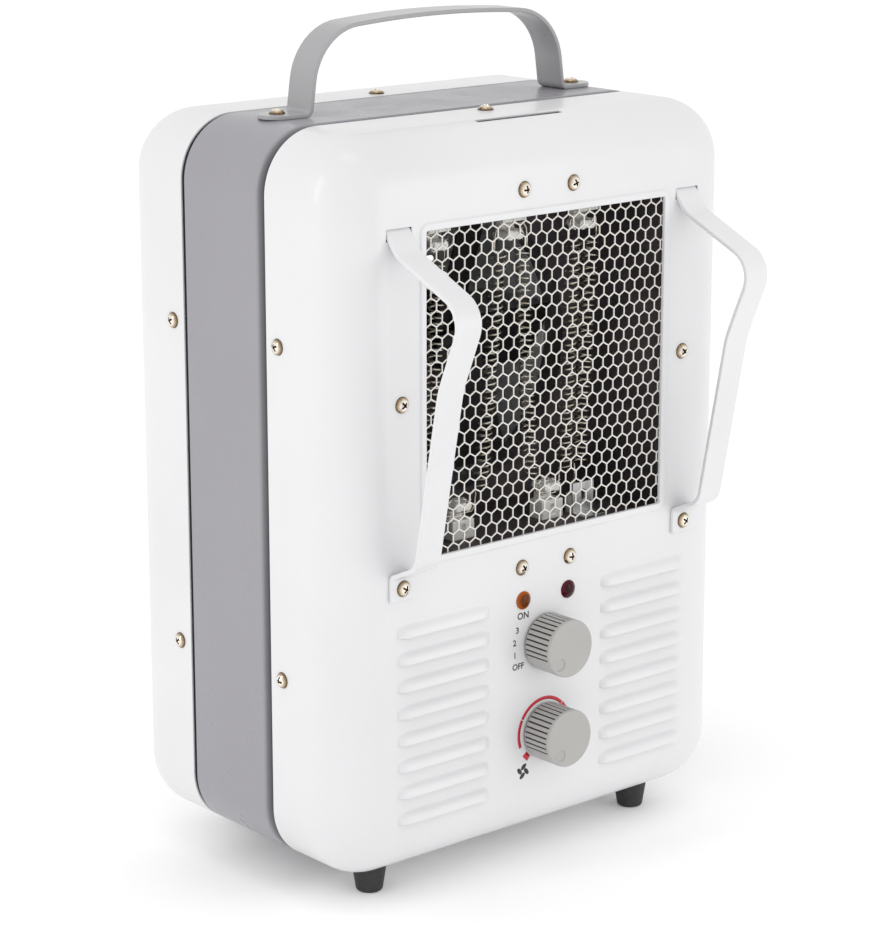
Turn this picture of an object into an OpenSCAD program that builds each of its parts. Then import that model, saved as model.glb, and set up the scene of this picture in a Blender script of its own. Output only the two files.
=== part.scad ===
// Portable fan heater with a sheet steel casing, two front guards, a strap handle and two knobs.
// Millimetres. +Z is up and the front faces -Y. The origin is at the middle of the footprint, on the floor.

/* [Casing] */
// Width of the casing
body_w = 235; // [229:1:245]
// Height of the casing, without feet and handle
body_h = 330; // [322:1:345]
// Depth of the casing, from front face to rear face
body_d = 159; // [157:1:172]
// Thickness of the sheet steel
sheet_t = 1; // [0.8:0.1:1.2]
// Corner radius of the casing, seen from the front
corner_r = 28; // [27:0.5:32]
// Radius of the drawn edge round the front face and the rear face
edge_r = 25; // [20:0.5:26]
// Depth of the front cover
front_depth = 50; // [48:1:54]
// Depth of the rear cover
rear_depth = 49; // [47:1:54]
// Length of the band's tongue under each cover
tongue = 15; // [13:1:20]
// Gap between the edge of a cover and the band
seam = 0.8; // [0.4:0.1:1.2]
// Play between a cover and the tongue inside it
lap_gap = 0.2; // [0.1:0.05:0.4]
// Distance of the casing screws from the edge of a cover
lap_screw = 8; // [6:0.5:9]
// Height of the lower casing screws above the casing's underside
screw_low = 90; // [70:1:110]
// Drop of the upper casing screws below the casing's top
screw_high = 91; // [70:1:110]

/* [Hot air outlet] */
// Width of the outlet
open_w = 141; // [134:1:144]
// Height of the outlet
open_h = 143; // [136:1:147]
// Drop of the outlet's top edge below the casing's top
open_drop = 41; // [38:1:44]
// Width of the raised rim round the outlet
rim_w = 3.5; // [2.5:0.5:5]
// Height of the raised rim
rim_h = 0.8; // [0.4:0.1:1.2]
// Distance between neighbouring cells of the wire mesh
mesh_pitch = 9.8; // [9.4:0.1:14]
// Width of a strand of the mesh
strand_w = 1; // [0.8:0.05:1.5]
// Thickness of the mesh
mesh_t = 0.9; // [0.7:0.1:1.2]
// Length of the slit in the top of the front cover
slit_l = 50; // [40:1:60]

/* [Louvres] */
// Number of louvres in each bank
louver_count = 8; // [5:1:8]
// Distance between neighbouring louvres
louver_pitch = 12.25; // [10.5:0.25:12.25]
// Length of a louvre
louver_l = 53; // [44:1:54]
// Height of a louvre
louver_h = 6.6; // [5:0.2:8]
// How far a louvre stands out of the front face
louver_out = 3; // [2.4:0.2:3.6]
// Distance of a bank's middle from the heater's middle
louver_x = 60.6; // [58:0.2:62]
// Height of the lowest louvre's lip above the casing's underside
louver_low = 27; // [26:1:30]

/* [Guards] */
// Width of the guard strap
guard_w = 13.4; // [10:0.1:14]
// Thickness of the guard strap
guard_t = 2; // [1.5:0.1:2.4]
// Distance of a guard's middle from the heater's middle
guard_x = 85; // [84.8:0.1:87]
// How far a guard stands out of the front face
guard_reach = 45; // [38:1:52]
// Drop of the guard's slot below the casing's top
guard_drop = 40; // [37:1:44]
// Length of the flat foot of a guard
guard_foot = 11; // [10:0.5:14]

/* [Handle] */
// Width of the handle strap
handle_w = 17; // [16:0.5:22]
// Thickness of the handle strap
handle_t = 2; // [1.5:0.1:2.5]
// Distance between a handle screw and the outer face of the leg beside it
handle_tab = 11.5; // [9:0.5:17]
// Height of the handle above the casing
handle_h = 41.5; // [36:0.5:55]
// Outer radius of the handle's shoulders
shoulder_r = 28; // [18:1:32]
// Distance of the handle screws from the casing's sides
handle_inset = 30.5; // [28:0.5:34]

/* [Feet] */
// Height of the rubber feet
foot_h = 12.8; // [9:0.1:16]
// Radius of a foot at its top
foot_r = 7.9; // [6.5:0.1:8.5]
// Radius of a foot at the floor
foot_tip_r = 6.2; // [4.5:0.1:7]
// Distance of a front foot from the casing's side
foot_side = 36; // [33.5:0.5:57]
// Distance of a rear foot from the casing's side
rear_foot_side = 53.5; // [36:0.5:57]
// Distance of a foot from the front face or the rear face
foot_inset = 27; // [26:0.5:32]

/* [Knobs and lamps] */
// Height of the selector's axis above the casing's underside
selector_z = 94; // [92:0.5:95]
// Height of the thermostat's axis above the casing's underside
thermostat_z = 51.5; // [50:0.5:52]
// Radius of the knobs
knob_r = 13.3; // [11:0.1:14]
// Length of the knobs
knob_l = 16.2; // [15:0.2:22]
// Gap between a knob and the front face
knob_gap = 0.8; // [0.5:0.1:1.5]
// Number of flutes round a knob, with the pointer's place left smooth
flutes = 29; // [15:1:37]
// Radius of the spindles
spindle_r = 3; // [2.5:0.1:3.2]
// Height of the lamps above the casing's underside
lamp_z = 115.6; // [115:0.1:117]
// Distance of a lamp from the heater's middle
lamp_x = 13.6; // [10:0.2:18]
// Radius of a lamp's lens
lamp_r = 4.2; // [3:0.05:4.5]

/* [Heating element] */
// Distance of the heating coil from the front face
coil_y = 24; // [22:0.5:30]
// Radius of the heating coil, to the middle of its wire
coil_r = 3.2; // [2.8:0.1:3.4]
// Radius of the resistance wire
wire_r = 0.45; // [0.35:0.05:0.5]
// Number of curls in each run of the coil
curls = 16; // [8:1:16]
// Distance between neighbouring upper insulators
post_pitch = 44; // [43:0.5:45]
// Place of the first lower insulator, across the heater
low_post_1 = -32; // [-33:0.5:-31]
// Place of the second lower insulator, across the heater
low_post_2 = 22; // [21.5:0.5:23]
// Height of an insulator
post_h = 17; // [16:0.5:19]

/* [Fan and motor] */
// Radius of the fan
fan_r = 61; // [54:0.5:61]
// Number of fan blades
fan_blades = 5; // [3:1:7]
// Slant of the fan blades
blade_angle = 30; // [20:1:34]
// Length of the duct from the outlet's flange to the fan shroud
duct_l = 58; // [54:1:60]
// Radius of the motor shaft
shaft_r = 2.5; // [2:0.1:3]
// Radius of the motor's rotor
rotor_r = 12.5; // [10:0.5:13]
// Thickness of the motor's plate stack
stack_l = 20; // [16:1:24]

/* [Hidden] */
$fn = 48;

white_paint = [0.94, 0.94, 0.94];
grey_paint = [0.65, 0.65, 0.66];
knob_grey = [0.72, 0.71, 0.68];
zinc_yellow = [0.80, 0.73, 0.58];
bare_steel = [0.62, 0.63, 0.65];
dark_steel = [0.28, 0.27, 0.27];
ceramic_white = [0.90, 0.89, 0.86];
black_rubber = [0.10, 0.10, 0.10];
brass = [0.80, 0.66, 0.35];
copper = [0.72, 0.42, 0.25];
black_plastic = [0.14, 0.14, 0.15];

// How far the cord bushing's lip stands out of the rear face
bushing_lip = 2;
// Place of the front face, so that the origin is at the middle of the footprint
front_y = -(body_d + bushing_lip - guard_reach) / 2;
base_z = foot_h;
top_z = base_z + body_h;
mid_z = base_z + body_h / 2;
eps = 0.01;

// Outlet, worked out from the casing's top
open_top = top_z - open_drop;
open_bot = open_top - open_h;
open_mid = (open_top + open_bot) / 2;

// Screws: shank radius, head radius and height, and the play in a plain and in a threaded hole
shank_r = 2;
head_r = 3.5;
head_h = 2.4;
hole_play = 0.15;
thread_play = 0.05;
// Lengths of the screws below their heads
casing_screw_l = 7;
handle_screw_l = 10;
front_screw_l = 8;
plate_screw_l = 6;
nut_af = 7;
nut_h = 3;
nut_seat = 0.1;
// Running fit of a shaft in its bearing, and the snug fit of a hub on its shaft
run_play = 0.04;
snug_play = 0.02;

// Screws of the front face: two above the outlet, two below it and one on each side
front_screw_x = 14.5;
screw_above = 12;
screw_below = 15;
screw_beside = 13.3;
front_screw_at = [
    for (s = [-1, 1]) each [
        [s * front_screw_x, open_top + screw_above],
        [s * front_screw_x, open_bot - screw_below],
        [s * (open_w / 2 + screw_beside), open_mid - 1.5]
    ]
];

// Band between the two covers
band_y0 = front_depth + seam;
band_y1 = body_d - rear_depth - seam;
tongue_out = sheet_t + lap_gap;
casing_screw_z = [base_z + screw_low, top_z - screw_high];
casing_screw_y = [front_depth - lap_screw, body_d - rear_depth + lap_screw];

// Guard: corners of the strap's middle line, as distance from the front face and height
slot_top = top_z - guard_drop;
guard_tip_in = 5;
guard_tip_rise = 5;
guard_neck_out = 5.5;
guard_neck_drop = 8.5;
guard_heel_out = 17.5;
guard_heel_drop = 141.5;
guard_toe_drop = 7.5;
guard_knee_drop = 27.2;
guard_waist_out = 33;
guard_waist_drop = 62;
neck_r = 14;
knee_r = 12;
waist_r = 40;
heel_r = 9;
toe_r = 3;
guard_tip = [guard_tip_in, slot_top + guard_tip_rise];
guard_neck = [-guard_neck_out, slot_top - guard_neck_drop];
guard_waist = [-guard_waist_out, slot_top - guard_waist_drop];
guard_heel = [-guard_heel_out, slot_top - guard_heel_drop];
guard_toe = [-guard_t / 2, guard_heel[1] - guard_toe_drop];
knee_z = slot_top - guard_knee_drop;
// The knee's corner lies where its bend just touches the guard's reach
function knee_over(y) =
    bend_centre(guard_neck, [y, knee_z], guard_waist, knee_r)[0] - knee_r - guard_t / 2 + guard_reach;
function knee_y(y, rounds) = rounds == 0 ? y : knee_y(y - knee_over(y), rounds - 1);
guard_knee = [knee_y(-guard_reach, 8), knee_z];
guard_line = [
    guard_tip, guard_neck, guard_knee, guard_waist, guard_heel, guard_toe, guard_toe - [0, guard_foot]
];
guard_bend = [0, neck_r, knee_r, waist_r, heel_r, toe_r, 0];
guard_screw_z = guard_toe[1] - guard_foot / 2;
guard_play = 0.3;
// Each straight length of a strap runs on into its bends, until it is this far off the arc
bend_lap = 0.002;

// Handle, in the middle of the band
handle_y = (band_y0 + band_y1) / 2;
handle_screws_x = body_w - 2 * handle_inset;
handle_span = handle_screws_x - 2 * handle_tab;
leg_lean = 5;
fold_r = 3;
grip_fall = 5;
grip_bow = 0.6;
// Widest turn between two facets of the handle's bends, and the fewest facets of a bend
bend_step = 5;
bend_facets = 8;
tab_end = handle_screws_x / 2 + handle_w / 2;
leg_x = handle_span / 2 - handle_t / 2;
shoulder_x = leg_x - leg_lean;
grip_angle = atan(grip_fall / shoulder_x);
bow_r = grip_bow * shoulder_x / tan(grip_angle);
grip_peak = handle_h - handle_t / 2 + bow_r * (1 / cos(grip_angle) - 1);
// Left half of the strap's middle line, as distance from the heater's middle and height above the casing
handle_half = [
    [-tab_end, handle_t / 2], [-leg_x, handle_t / 2], [-shoulder_x, grip_peak - grip_fall], [0, grip_peak]
];
handle_line = concat(handle_half, [for (i = [2 : -1 : 0]) [-handle_half[i][0], handle_half[i][1]]]);
shoulder_bend = shoulder_r - handle_t / 2;
handle_bend = [0, fold_r, shoulder_bend, bow_r, shoulder_bend, fold_r, 0];

// Feet
foot_x = body_w / 2 - foot_side;
rear_foot_x = body_w / 2 - rear_foot_side;
foot_hole_r = 3;

// Controls
knob_flute_w = 0.7;
knob_flute_d = 0.7;
selector_pointer = 226;
thermostat_pointer = 232;
pointer_free = 60;
spindle_flat = 0.7;
bracket_y = 14;
bracket_t = 1.2;
switch_y0 = bracket_y + bracket_t;
switch_l = 22;
switch_w = 28;
bush_r = 5;
bush_l = 5;
stack_step = 4;
blade_y = switch_y0 + 8;
blade_gap = 0.3;
selector_axis = base_z + selector_z;
thermostat_axis = base_z + thermostat_z;

// Duct behind the outlet
duct_gap = 3;
duct_w = open_w + 2 * duct_gap;
duct_h = open_h + 2 * duct_gap;
mesh_y = sheet_t;
flange_y = mesh_y + mesh_t;
duct_y0 = flange_y + sheet_t;
duct_y1 = duct_y0 + duct_l - sheet_t;
ceiling = open_mid + duct_h / 2;
floor_z = open_mid - duct_h / 2;
under_duct = floor_z - sheet_t;
mesh_border = 6;
ear_w = 13;

// Heating element
post_w = 13;
post_d = 9;
neck_z = 9;
neck_h = 3.5;
lobe_r = 2.4;
element_x = -1.8;
hook_drop = neck_z + neck_h / 2;
run_top = ceiling - post_h - 5;
run_bot = floor_z + post_h + 5;
upper_posts = [for (i = [-1 : 1]) element_x + i * post_pitch];
lower_posts = [low_post_1, low_post_2];
post_screw_r = 1.5;
wire_sides = 6;
rings = 8;
coil_play = 0.3;
start_pin_x = upper_posts[0] - 14;
pin_lead = 4;
feed_pin_r = 1.6;
feed_r = 4;
feed_x = 39.4;
feed_top = floor_z + 14;
// Place of each run's upper and lower end
run_x1 = [upper_posts[0] + 3, upper_posts[1] - 5.5, upper_posts[1] + 7.5, upper_posts[2] - 4.5, upper_posts[2] + 6];
run_x0 = [low_post_1 - 17, low_post_1 + 14, low_post_2 - 10, low_post_2 + 11, feed_x + coil_r];

// Fan and motor
shroud_y = duct_y1;
collar_l = 12;
collar_gap = 4;
fan_y = shroud_y + sheet_t + 11;
blade_chord = 34;
blade_t = 1;
hub_r = 9;
hub_l = 14;
stack_y0 = fan_y + 28;
stack_y1 = stack_y0 + stack_l;
rotor_gap = 0.5;
stator_w = 48;
bridge_t = 2;
bridge_h = 6;
arm_t = 1.5;
arm_h = 24;
arm_clear = 11;
arm_inset = 1.5;
arm_foot = 10;
flange_w = 9;
flange_screw = 5;
bracket_screw = 6;
// The bracket's arms clear the fan and stand just inside the duct's line, and the plates carry their feet
arm_x = max(fan_r + arm_clear, duct_w / 2 - arm_inset);
plate_w = max(duct_w + 2 * flange_w, 2 * (arm_x + arm_foot));
plate_h = duct_h + 2 * flange_w;
shroud_screw_at = [
    for (sx = [-1, 1], sz = [-1, 1]) [sx * (duct_w / 2 + flange_screw), open_mid + sz * (duct_h / 2 + flange_screw)]
];
bracket_screw_at = [for (s = [-1, 1]) [s * (arm_x + bracket_screw), open_mid]];
motor_screw_x = 20.5;
core_h = 10;
winding_build = 8.5;
cord_at = [70, base_z + 34];
cord_r = 3.8;
block_x = 46;
block_y = 49;

// Tilt switch under the duct
tilt_at = [-38, 46];
tilt_pin_z = under_duct - 27;
tilt_gauge = 20;
pin_r = 1.5;
bob_r = 9;
arm_l = 33;
pendulum_w = 6;
ear_t = 1.2;
// The stop bars lie this far below the pin, and as far out as the arm's edge swings
swing = 20;
stop_z = 12;
stop_y = (stop_z + 4) * tan(swing) + pendulum_w / 2 / cos(swing) + 0.1;

// Puts what is drawn from the front face back into the heater's frame
module in_place() {
    translate([0, front_y, 0]) children();
}

// A plate cut from an outline in X and Z, between two distances from the front face
module plate(y0, y1) {
    translate([0, y1, 0]) rotate([90, 0, 0]) linear_extrude(y1 - y0) children();
}

// An outline in X and Y, raised between two heights
module raised(z0, z1) {
    translate([0, 0, z0]) linear_extrude(z1 - z0) children();
}

// A strip cut from an outline in Y and Z, between two places along X
module strip(x0, x1) {
    translate([x0, 0, 0]) rotate([90, 0, 90]) linear_extrude(x1 - x0) children();
}

// A round rod along Y between two distances from the front face
module rod(at, r, y0, y1) {
    translate([at[0], y1, at[1]]) rotate([90, 0, 0]) cylinder(r = r, h = y1 - y0);
}

module rounded(w, h, r) {
    square([w - 2 * r, h], center = true);
    for (s = [-1, 1]) translate([s * (w / 2 - r / 2), 0]) square([r, h - 2 * r], center = true);
    for (sx = [-1, 1], sy = [-1, 1]) translate([sx * (w / 2 - r), sy * (h / 2 - r)]) intersection() {
        circle(r);
        translate([sx * r / 2, sy * r / 2]) square(r, center = true);
    }
}

// A slot with round ends, along X
module slot(l, w) {
    square([l - w, w], center = true);
    for (s = [-1, 1]) translate([s * (l - w) / 2, 0]) intersection() {
        circle(w / 2);
        translate([s * w / 4, 0]) square([w / 2, w], center = true);
    }
}

// Wall of a drawn cover: x runs out from the corner's axis, y runs in from the cover's face
module drawn_wall(depth) {
    square([corner_r - edge_r, sheet_t]);
    translate([corner_r - edge_r, edge_r]) intersection() {
        difference() {
            circle(edge_r);
            circle(edge_r - sheet_t);
        }
        translate([0, -edge_r]) square(edge_r);
    }
    translate([corner_r - sheet_t, edge_r]) square([sheet_t, depth - edge_r]);
}

// A drawn cover that stands on its face: corners turned, sides straight, middle flat
module drawn_pan(depth) {
    flat_w = body_w - 2 * corner_r;
    flat_h = body_h - 2 * corner_r;
    translate([0, 0, mid_z]) rotate([90, 0, 0]) {
        for (c = [[1, 1, 0], [-1, 1, 90], [-1, -1, 180], [1, -1, 270]])
            translate([c[0] * flat_w / 2, c[1] * flat_h / 2, 0]) rotate(c[2])
                rotate_extrude(angle = 90) drawn_wall(depth);
        for (a = [0, 180]) rotate(a) translate([flat_w / 2, 0, 0]) rotate([90, 0, 0])
            linear_extrude(flat_h, center = true) drawn_wall(depth);
        for (a = [90, 270]) rotate(a) translate([flat_h / 2, 0, 0]) rotate([90, 0, 0])
            linear_extrude(flat_w, center = true) drawn_wall(depth);
        translate([-flat_w / 2, -flat_h / 2, 0]) cube([flat_w, flat_h, sheet_t]);
    }
}

// Round-headed screw with a cross recess: seat at the origin, shank along -Z
module screw(l) {
    dome_r = (head_r * head_r + head_h * head_h) / (2 * head_h);
    difference() {
        union() {
            intersection() {
                translate([0, 0, head_h - dome_r]) sphere(dome_r);
                cylinder(r = head_r + 1, h = head_h + 1);
            }
            translate([0, 0, -l]) cylinder(r = shank_r, h = l + eps);
        }
        for (a = [0, 90]) rotate(a) translate([-1.9, -0.45, head_h - 1.2]) cube([3.8, 0.9, 2]);
    }
}

// A screw driven into the front face, or into any face that looks forwards
module screw_from_front(at, y, l) {
    translate([at[0], y, at[1]]) rotate([90, 45, 0]) screw(l);
}

module screw_from_rear(at, y, l) {
    translate([at[0], y, at[1]]) rotate([-90, 45, 0]) screw(l);
}

// Outline of a louvre across its length: x runs out of the face, y runs up from the lip
module louver_side(grow, back) {
    bow = (louver_h * louver_h + louver_out * louver_out) / (2 * louver_out);
    intersection() {
        translate([louver_out - bow, 0]) circle(bow + grow);
        translate([-back, grow < 0 ? -0.2 : 0]) square([louver_out + back, louver_h * 2]);
    }
}

module louver(grow, back) {
    straight = louver_l - 2 * louver_out;
    translate([straight / 2, 0, 0]) rotate([90, 0, -90]) linear_extrude(straight) louver_side(grow, back);
    for (s = [-1, 1]) translate([s * straight / 2, 0, 0]) rotate(s < 0 ? 180 : 270)
        rotate_extrude(angle = 90) louver_side(grow, 0);
}

module at_louvers() {
    for (s = [-1, 1], i = [0 : louver_count - 1])
        translate([s * louver_x, 0, base_z + louver_low + i * louver_pitch]) children();
}

module front_cover() {
    color(white_paint) in_place() difference() {
        union() {
            mirror([0, 1, 0]) drawn_pan(front_depth);
            plate(-rim_h, sheet_t / 2) translate([0, open_mid]) rounded(open_w + 2 * rim_w, open_h + 2 * rim_w, 6);
            at_louvers() louver(0, sheet_t / 2);
        }
        plate(-rim_h - 1, sheet_t + 1) translate([0, open_mid]) rounded(open_w, open_h, 2);
        at_louvers() louver(-sheet_t * 0.8, sheet_t + 0.5);
        for (p = front_screw_at) rod(p, shank_r + hole_play, -1, sheet_t + 1);
        for (s = [-1, 1]) {
            rod([s * guard_x, guard_screw_z], shank_r + thread_play, -1, sheet_t + 1);
            rod([s * lamp_x, base_z + lamp_z], lamp_r - 0.15, -1, sheet_t + 1);
            translate([s * guard_x - guard_w / 2 - guard_play, -1, slot_top - 3.2])
                cube([guard_w + 2 * guard_play, sheet_t + 2, 5]);
        }
        for (z = [selector_axis, thermostat_axis]) rod([0, z], spindle_r + 2, -1, sheet_t + 1);
        translate([-slit_l / 2, 18.5, top_z - 6]) cube([slit_l, 3, 10]);
        skirt_holes(casing_screw_y[0], shank_r + hole_play);
        for (s = [-1, 1]) translate([s * foot_x, foot_inset, base_z - 1]) cylinder(r = foot_hole_r, h = sheet_t + 2);
    }
}

// Holes for the screws that join a cover and the band
module skirt_holes(y, r) {
    for (z = casing_screw_z) translate([-body_w, y, z]) rotate([0, 90, 0]) cylinder(r = r, h = 2 * body_w);
    translate([0, y, base_z - 1]) cylinder(r = r, h = body_h + 2);
}

module rear_cover() {
    intake_rows = 13;
    intake_pitch = 10.5;
    intake_l = 64;
    intake_x = 37;
    color(white_paint) in_place() difference() {
        translate([0, body_d, 0]) drawn_pan(rear_depth);
        plate(body_d - sheet_t - 1, body_d + 1)
            for (i = [0 : intake_rows - 1], s = [-1, 1])
                translate([s * intake_x, open_mid + (i - (intake_rows - 1) / 2) * intake_pitch]) slot(intake_l, 4.6);
        rod(cord_at, cord_r + 2.2, body_d - sheet_t - 1, body_d + 1);
        skirt_holes(casing_screw_y[1], shank_r + hole_play);
        for (s = [-1, 1]) translate([s * rear_foot_x, body_d - foot_inset, base_z - 1])
            cylinder(r = foot_hole_r, h = sheet_t + 2);
    }
}

// Ring of sheet steel, set in from the casing's outside
module band_ring(y0, y1, inset, wall) {
    plate(y0, y1) translate([0, mid_z]) difference() {
        rounded(body_w - 2 * inset, body_h - 2 * inset, corner_r - inset);
        rounded(body_w - 2 * (inset + wall), body_h - 2 * (inset + wall), corner_r - inset - wall);
    }
}

module housing_band() {
    color(grey_paint) in_place() difference() {
        union() {
            band_ring(band_y0, band_y1, 0, tongue_out + sheet_t);
            band_ring(band_y0 - tongue, band_y0, tongue_out, sheet_t);
            band_ring(band_y1, band_y1 + tongue, tongue_out, sheet_t);
        }
        band_ring(band_y0 + sheet_t, band_y1 - sheet_t, sheet_t, tongue_out + 1);
        for (y = casing_screw_y) skirt_holes(y, shank_r + thread_play);
        for (s = [-1, 1]) translate([s * handle_screws_x / 2, handle_y, top_z - sheet_t - 1])
            cylinder(r = shank_r + hole_play, h = sheet_t + 2);
    }
}

module casing_screws() {
    color(zinc_yellow) in_place() for (y = casing_screw_y) {
        for (z = casing_screw_z, s = [-1, 1]) translate([s * body_w / 2, y, z])
            rotate([0, s * 90, 0]) rotate(45) screw(casing_screw_l);
        translate([0, y, top_z]) rotate(45) screw(casing_screw_l);
        translate([0, y, base_z]) rotate([180, 0, 0]) rotate(45) screw(casing_screw_l);
    }
}

// Turn of a bend about its centre, to the left if above 0
function bend_turn(a, b, c) =
    let (turn = atan2(c[1] - b[1], c[0] - b[0]) - atan2(b[1] - a[1], b[0] - a[0]))
    turn > 180 ? turn - 360 : turn < -180 ? turn + 360 : turn;

// A point beside the start of the line from a to b, at a distance to its left
function beside(a, b, side) = a + side * [a[1] - b[1], b[0] - a[0]] / norm(b - a);

// Points of one edge of a bend in a strap, at a distance to the left of the strap's middle line
function bend_edge(a, b, c, r, side) =
    let (
        m = bend_centre(a, b, c, r), turn = bend_turn(a, b, c), steps = max(bend_facets, ceil(abs(turn) / bend_step)),
        start = toward(b, a, bend_cut(a, b, c, r)) - m, first = atan2(start[1], start[0]),
        edge_r = turn > 0 ? r - side : r + side
    )
    [for (i = [0 : steps]) let (angle = first + turn * i / steps) m + edge_r * [cos(angle), sin(angle)]];

// Points of one edge of a strap along a line of corners, each with its bend
function strap_edge(line, bend, side) =
    let (n = len(line) - 1)
    concat(
        [beside(line[0], line[1], side)],
        [for (i = [1 : n - 1]) each bend_edge(line[i - 1], line[i], line[i + 1], bend[i], side)],
        [beside(line[n], line[n - 1], -side)]
    );
function reversed(list) = [for (i = [len(list) - 1 : -1 : 0]) list[i]];

module carry_handle() {
    color(grey_paint) in_place() translate([0, handle_y, top_z]) difference() {
        intersection() {
            plate(-handle_w / 2, handle_w / 2) polygon(concat(
                strap_edge(handle_line, handle_bend, handle_t / 2),
                reversed(strap_edge(handle_line, handle_bend, -handle_t / 2))
            ));
            raised(-1, handle_h + 1) slot(handle_screws_x + handle_w, handle_w);
        }
        for (s = [-1, 1]) translate([s * handle_screws_x / 2, 0, -1])
            cylinder(r = shank_r + hole_play, h = handle_t + 2);
    }
}

module handle_screws() {
    color(zinc_yellow) in_place() for (s = [-1, 1])
        translate([s * handle_screws_x / 2, handle_y, top_z + handle_t]) rotate(45) screw(handle_screw_l);
}

module nut(r) {
    difference() {
        cylinder(r = nut_af / sqrt(3), h = nut_h, $fn = 6);
        translate([0, 0, -1]) cylinder(r = r, h = nut_h + 2);
    }
}

module handle_nuts() {
    color(bare_steel) in_place() for (s = [-1, 1])
        translate([s * handle_screws_x / 2, handle_y, top_z - sheet_t - nut_seat - nut_h])
            rotate(30) nut(shank_r + thread_play);
}

// Length cut off each leg of a corner by a bend of radius r
function bend_cut(a, b, c, r) = r * tan((180 - bend_angle(a, b, c)) / 2);
function bend_angle(a, b, c) = acos(((a - b) * (c - b)) / (norm(a - b) * norm(c - b)));
function toward(a, b, l) = a + (b - a) * l / norm(b - a);
function bend_centre(a, b, c, r) =
    let (u = (a - b) / norm(a - b), v = (c - b) / norm(c - b), m = (u + v) / norm(u + v))
    b + m * r / sin(bend_angle(a, b, c) / 2);

// A straight piece of strap between two points, as an outline
module strap_leg(a, b, t) {
    d = b - a;
    translate(a) rotate(atan2(d[1], d[0])) translate([0, -t / 2]) square([norm(d), t]);
}

// A bend of strap at corner b
module strap_bend(a, b, c, r, t) {
    m = bend_centre(a, b, c, r);
    p = toward(b, a, bend_cut(a, b, c, r));
    q = toward(b, c, bend_cut(a, b, c, r));
    reach = (r + t) * 2;
    intersection() {
        translate(m) difference() {
            circle(r + t / 2);
            circle(r - t / 2);
        }
        polygon([m, toward(m, p, reach), toward(m, b, reach), toward(m, q, reach)]);
    }
}

// Outline of a strap along a line of corners, each with its bend
module strap_side(line, bend, t) {
    n = len(line);
    cut = [
        for (i = [0 : n - 1]) bend[i] > 0
            ? bend_cut(line[i - 1], line[i], line[i + 1], bend[i]) - sqrt(2 * bend[i] * bend_lap)
            : 0
    ];
    for (i = [0 : n - 2]) strap_leg(toward(line[i], line[i + 1], cut[i]), toward(line[i + 1], line[i], cut[i + 1]), t);
    for (i = [1 : n - 2]) strap_bend(line[i - 1], line[i], line[i + 1], bend[i], t);
}

module guard(s) {
    color(white_paint) in_place() difference() {
        strip(s * guard_x - guard_w / 2, s * guard_x + guard_w / 2) strap_side(guard_line, guard_bend, guard_t);
        rod([s * guard_x, guard_screw_z], shank_r + hole_play, -guard_t - 1, 1);
    }
}

module guard_left() {
    guard(-1);
}

module guard_right() {
    guard(1);
}

module guard_screws() {
    color(zinc_yellow) in_place() for (s = [-1, 1])
        screw_from_front([s * guard_x, guard_screw_z], -guard_t, front_screw_l);
}

// Rubber foot, pushed into its hole in a cover's underside
module foot(x, y) {
    stem_gap = 0.1;
    color(black_rubber) in_place() translate([x, y, 0]) {
        cylinder(r1 = foot_tip_r, r2 = foot_r, h = base_z);
        cylinder(r = foot_hole_r - stem_gap, h = base_z + sheet_t + 2);
        translate([0, 0, base_z + sheet_t]) cylinder(r1 = foot_hole_r + 1.4, r2 = foot_hole_r - stem_gap, h = 2.5);
    }
}

module foot_front_left() {
    foot(-foot_x, foot_inset);
}

module foot_front_right() {
    foot(foot_x, foot_inset);
}

module foot_rear_left() {
    foot(-rear_foot_x, body_d - foot_inset);
}

module foot_rear_right() {
    foot(rear_foot_x, body_d - foot_inset);
}

// Six-sided cells in staggered rows
module mesh_cells(w, h) {
    row = mesh_pitch * sqrt(3) / 2;
    rows = floor(h / 2 / row) + 1;
    cols = floor(w / 2 / mesh_pitch) + 1;
    for (j = [-rows : rows], i = [-cols : cols])
        translate([(i + (j % 2 == 0 ? 0 : 0.5)) * mesh_pitch, j * row]) rotate(30)
            circle(r = (mesh_pitch - strand_w) / sqrt(3), $fn = 6);
}

module grille_mesh() {
    cell_w = open_w + 4;
    cell_h = open_h + 4;
    color(white_paint) in_place() plate(mesh_y, mesh_y + mesh_t) translate([0, open_mid]) difference() {
        square([open_w + 2 * mesh_border, open_h + 2 * mesh_border], center = true);
        intersection() {
            square([cell_w, cell_h], center = true);
            mesh_cells(cell_w, cell_h);
        }
    }
}

module front_screws() {
    color(zinc_yellow) in_place() for (p = front_screw_at) screw_from_front(p, 0, front_screw_l);
}

module lamp(s) {
    dome_h = 2.6;
    lens_out_r = (lamp_r * lamp_r + dome_h * dome_h) / (2 * dome_h);
    in_place() {
        intersection() {
            translate([s * lamp_x, lens_out_r - dome_h, base_z + lamp_z]) sphere(lens_out_r);
            rod([s * lamp_x, base_z + lamp_z], lamp_r + 1, -dome_h - 1, 0);
        }
        rod([s * lamp_x, base_z + lamp_z], lamp_r - 0.25, -eps, 10);
        rod([s * lamp_x, base_z + lamp_z], lamp_r + 0.5, sheet_t, sheet_t + 2);
    }
}

module power_lamp() {
    color([0.85, 0.45, 0.10]) lamp(-1);
}

module caution_lamp() {
    color([0.45, 0.05, 0.10]) lamp(1);
}

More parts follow.
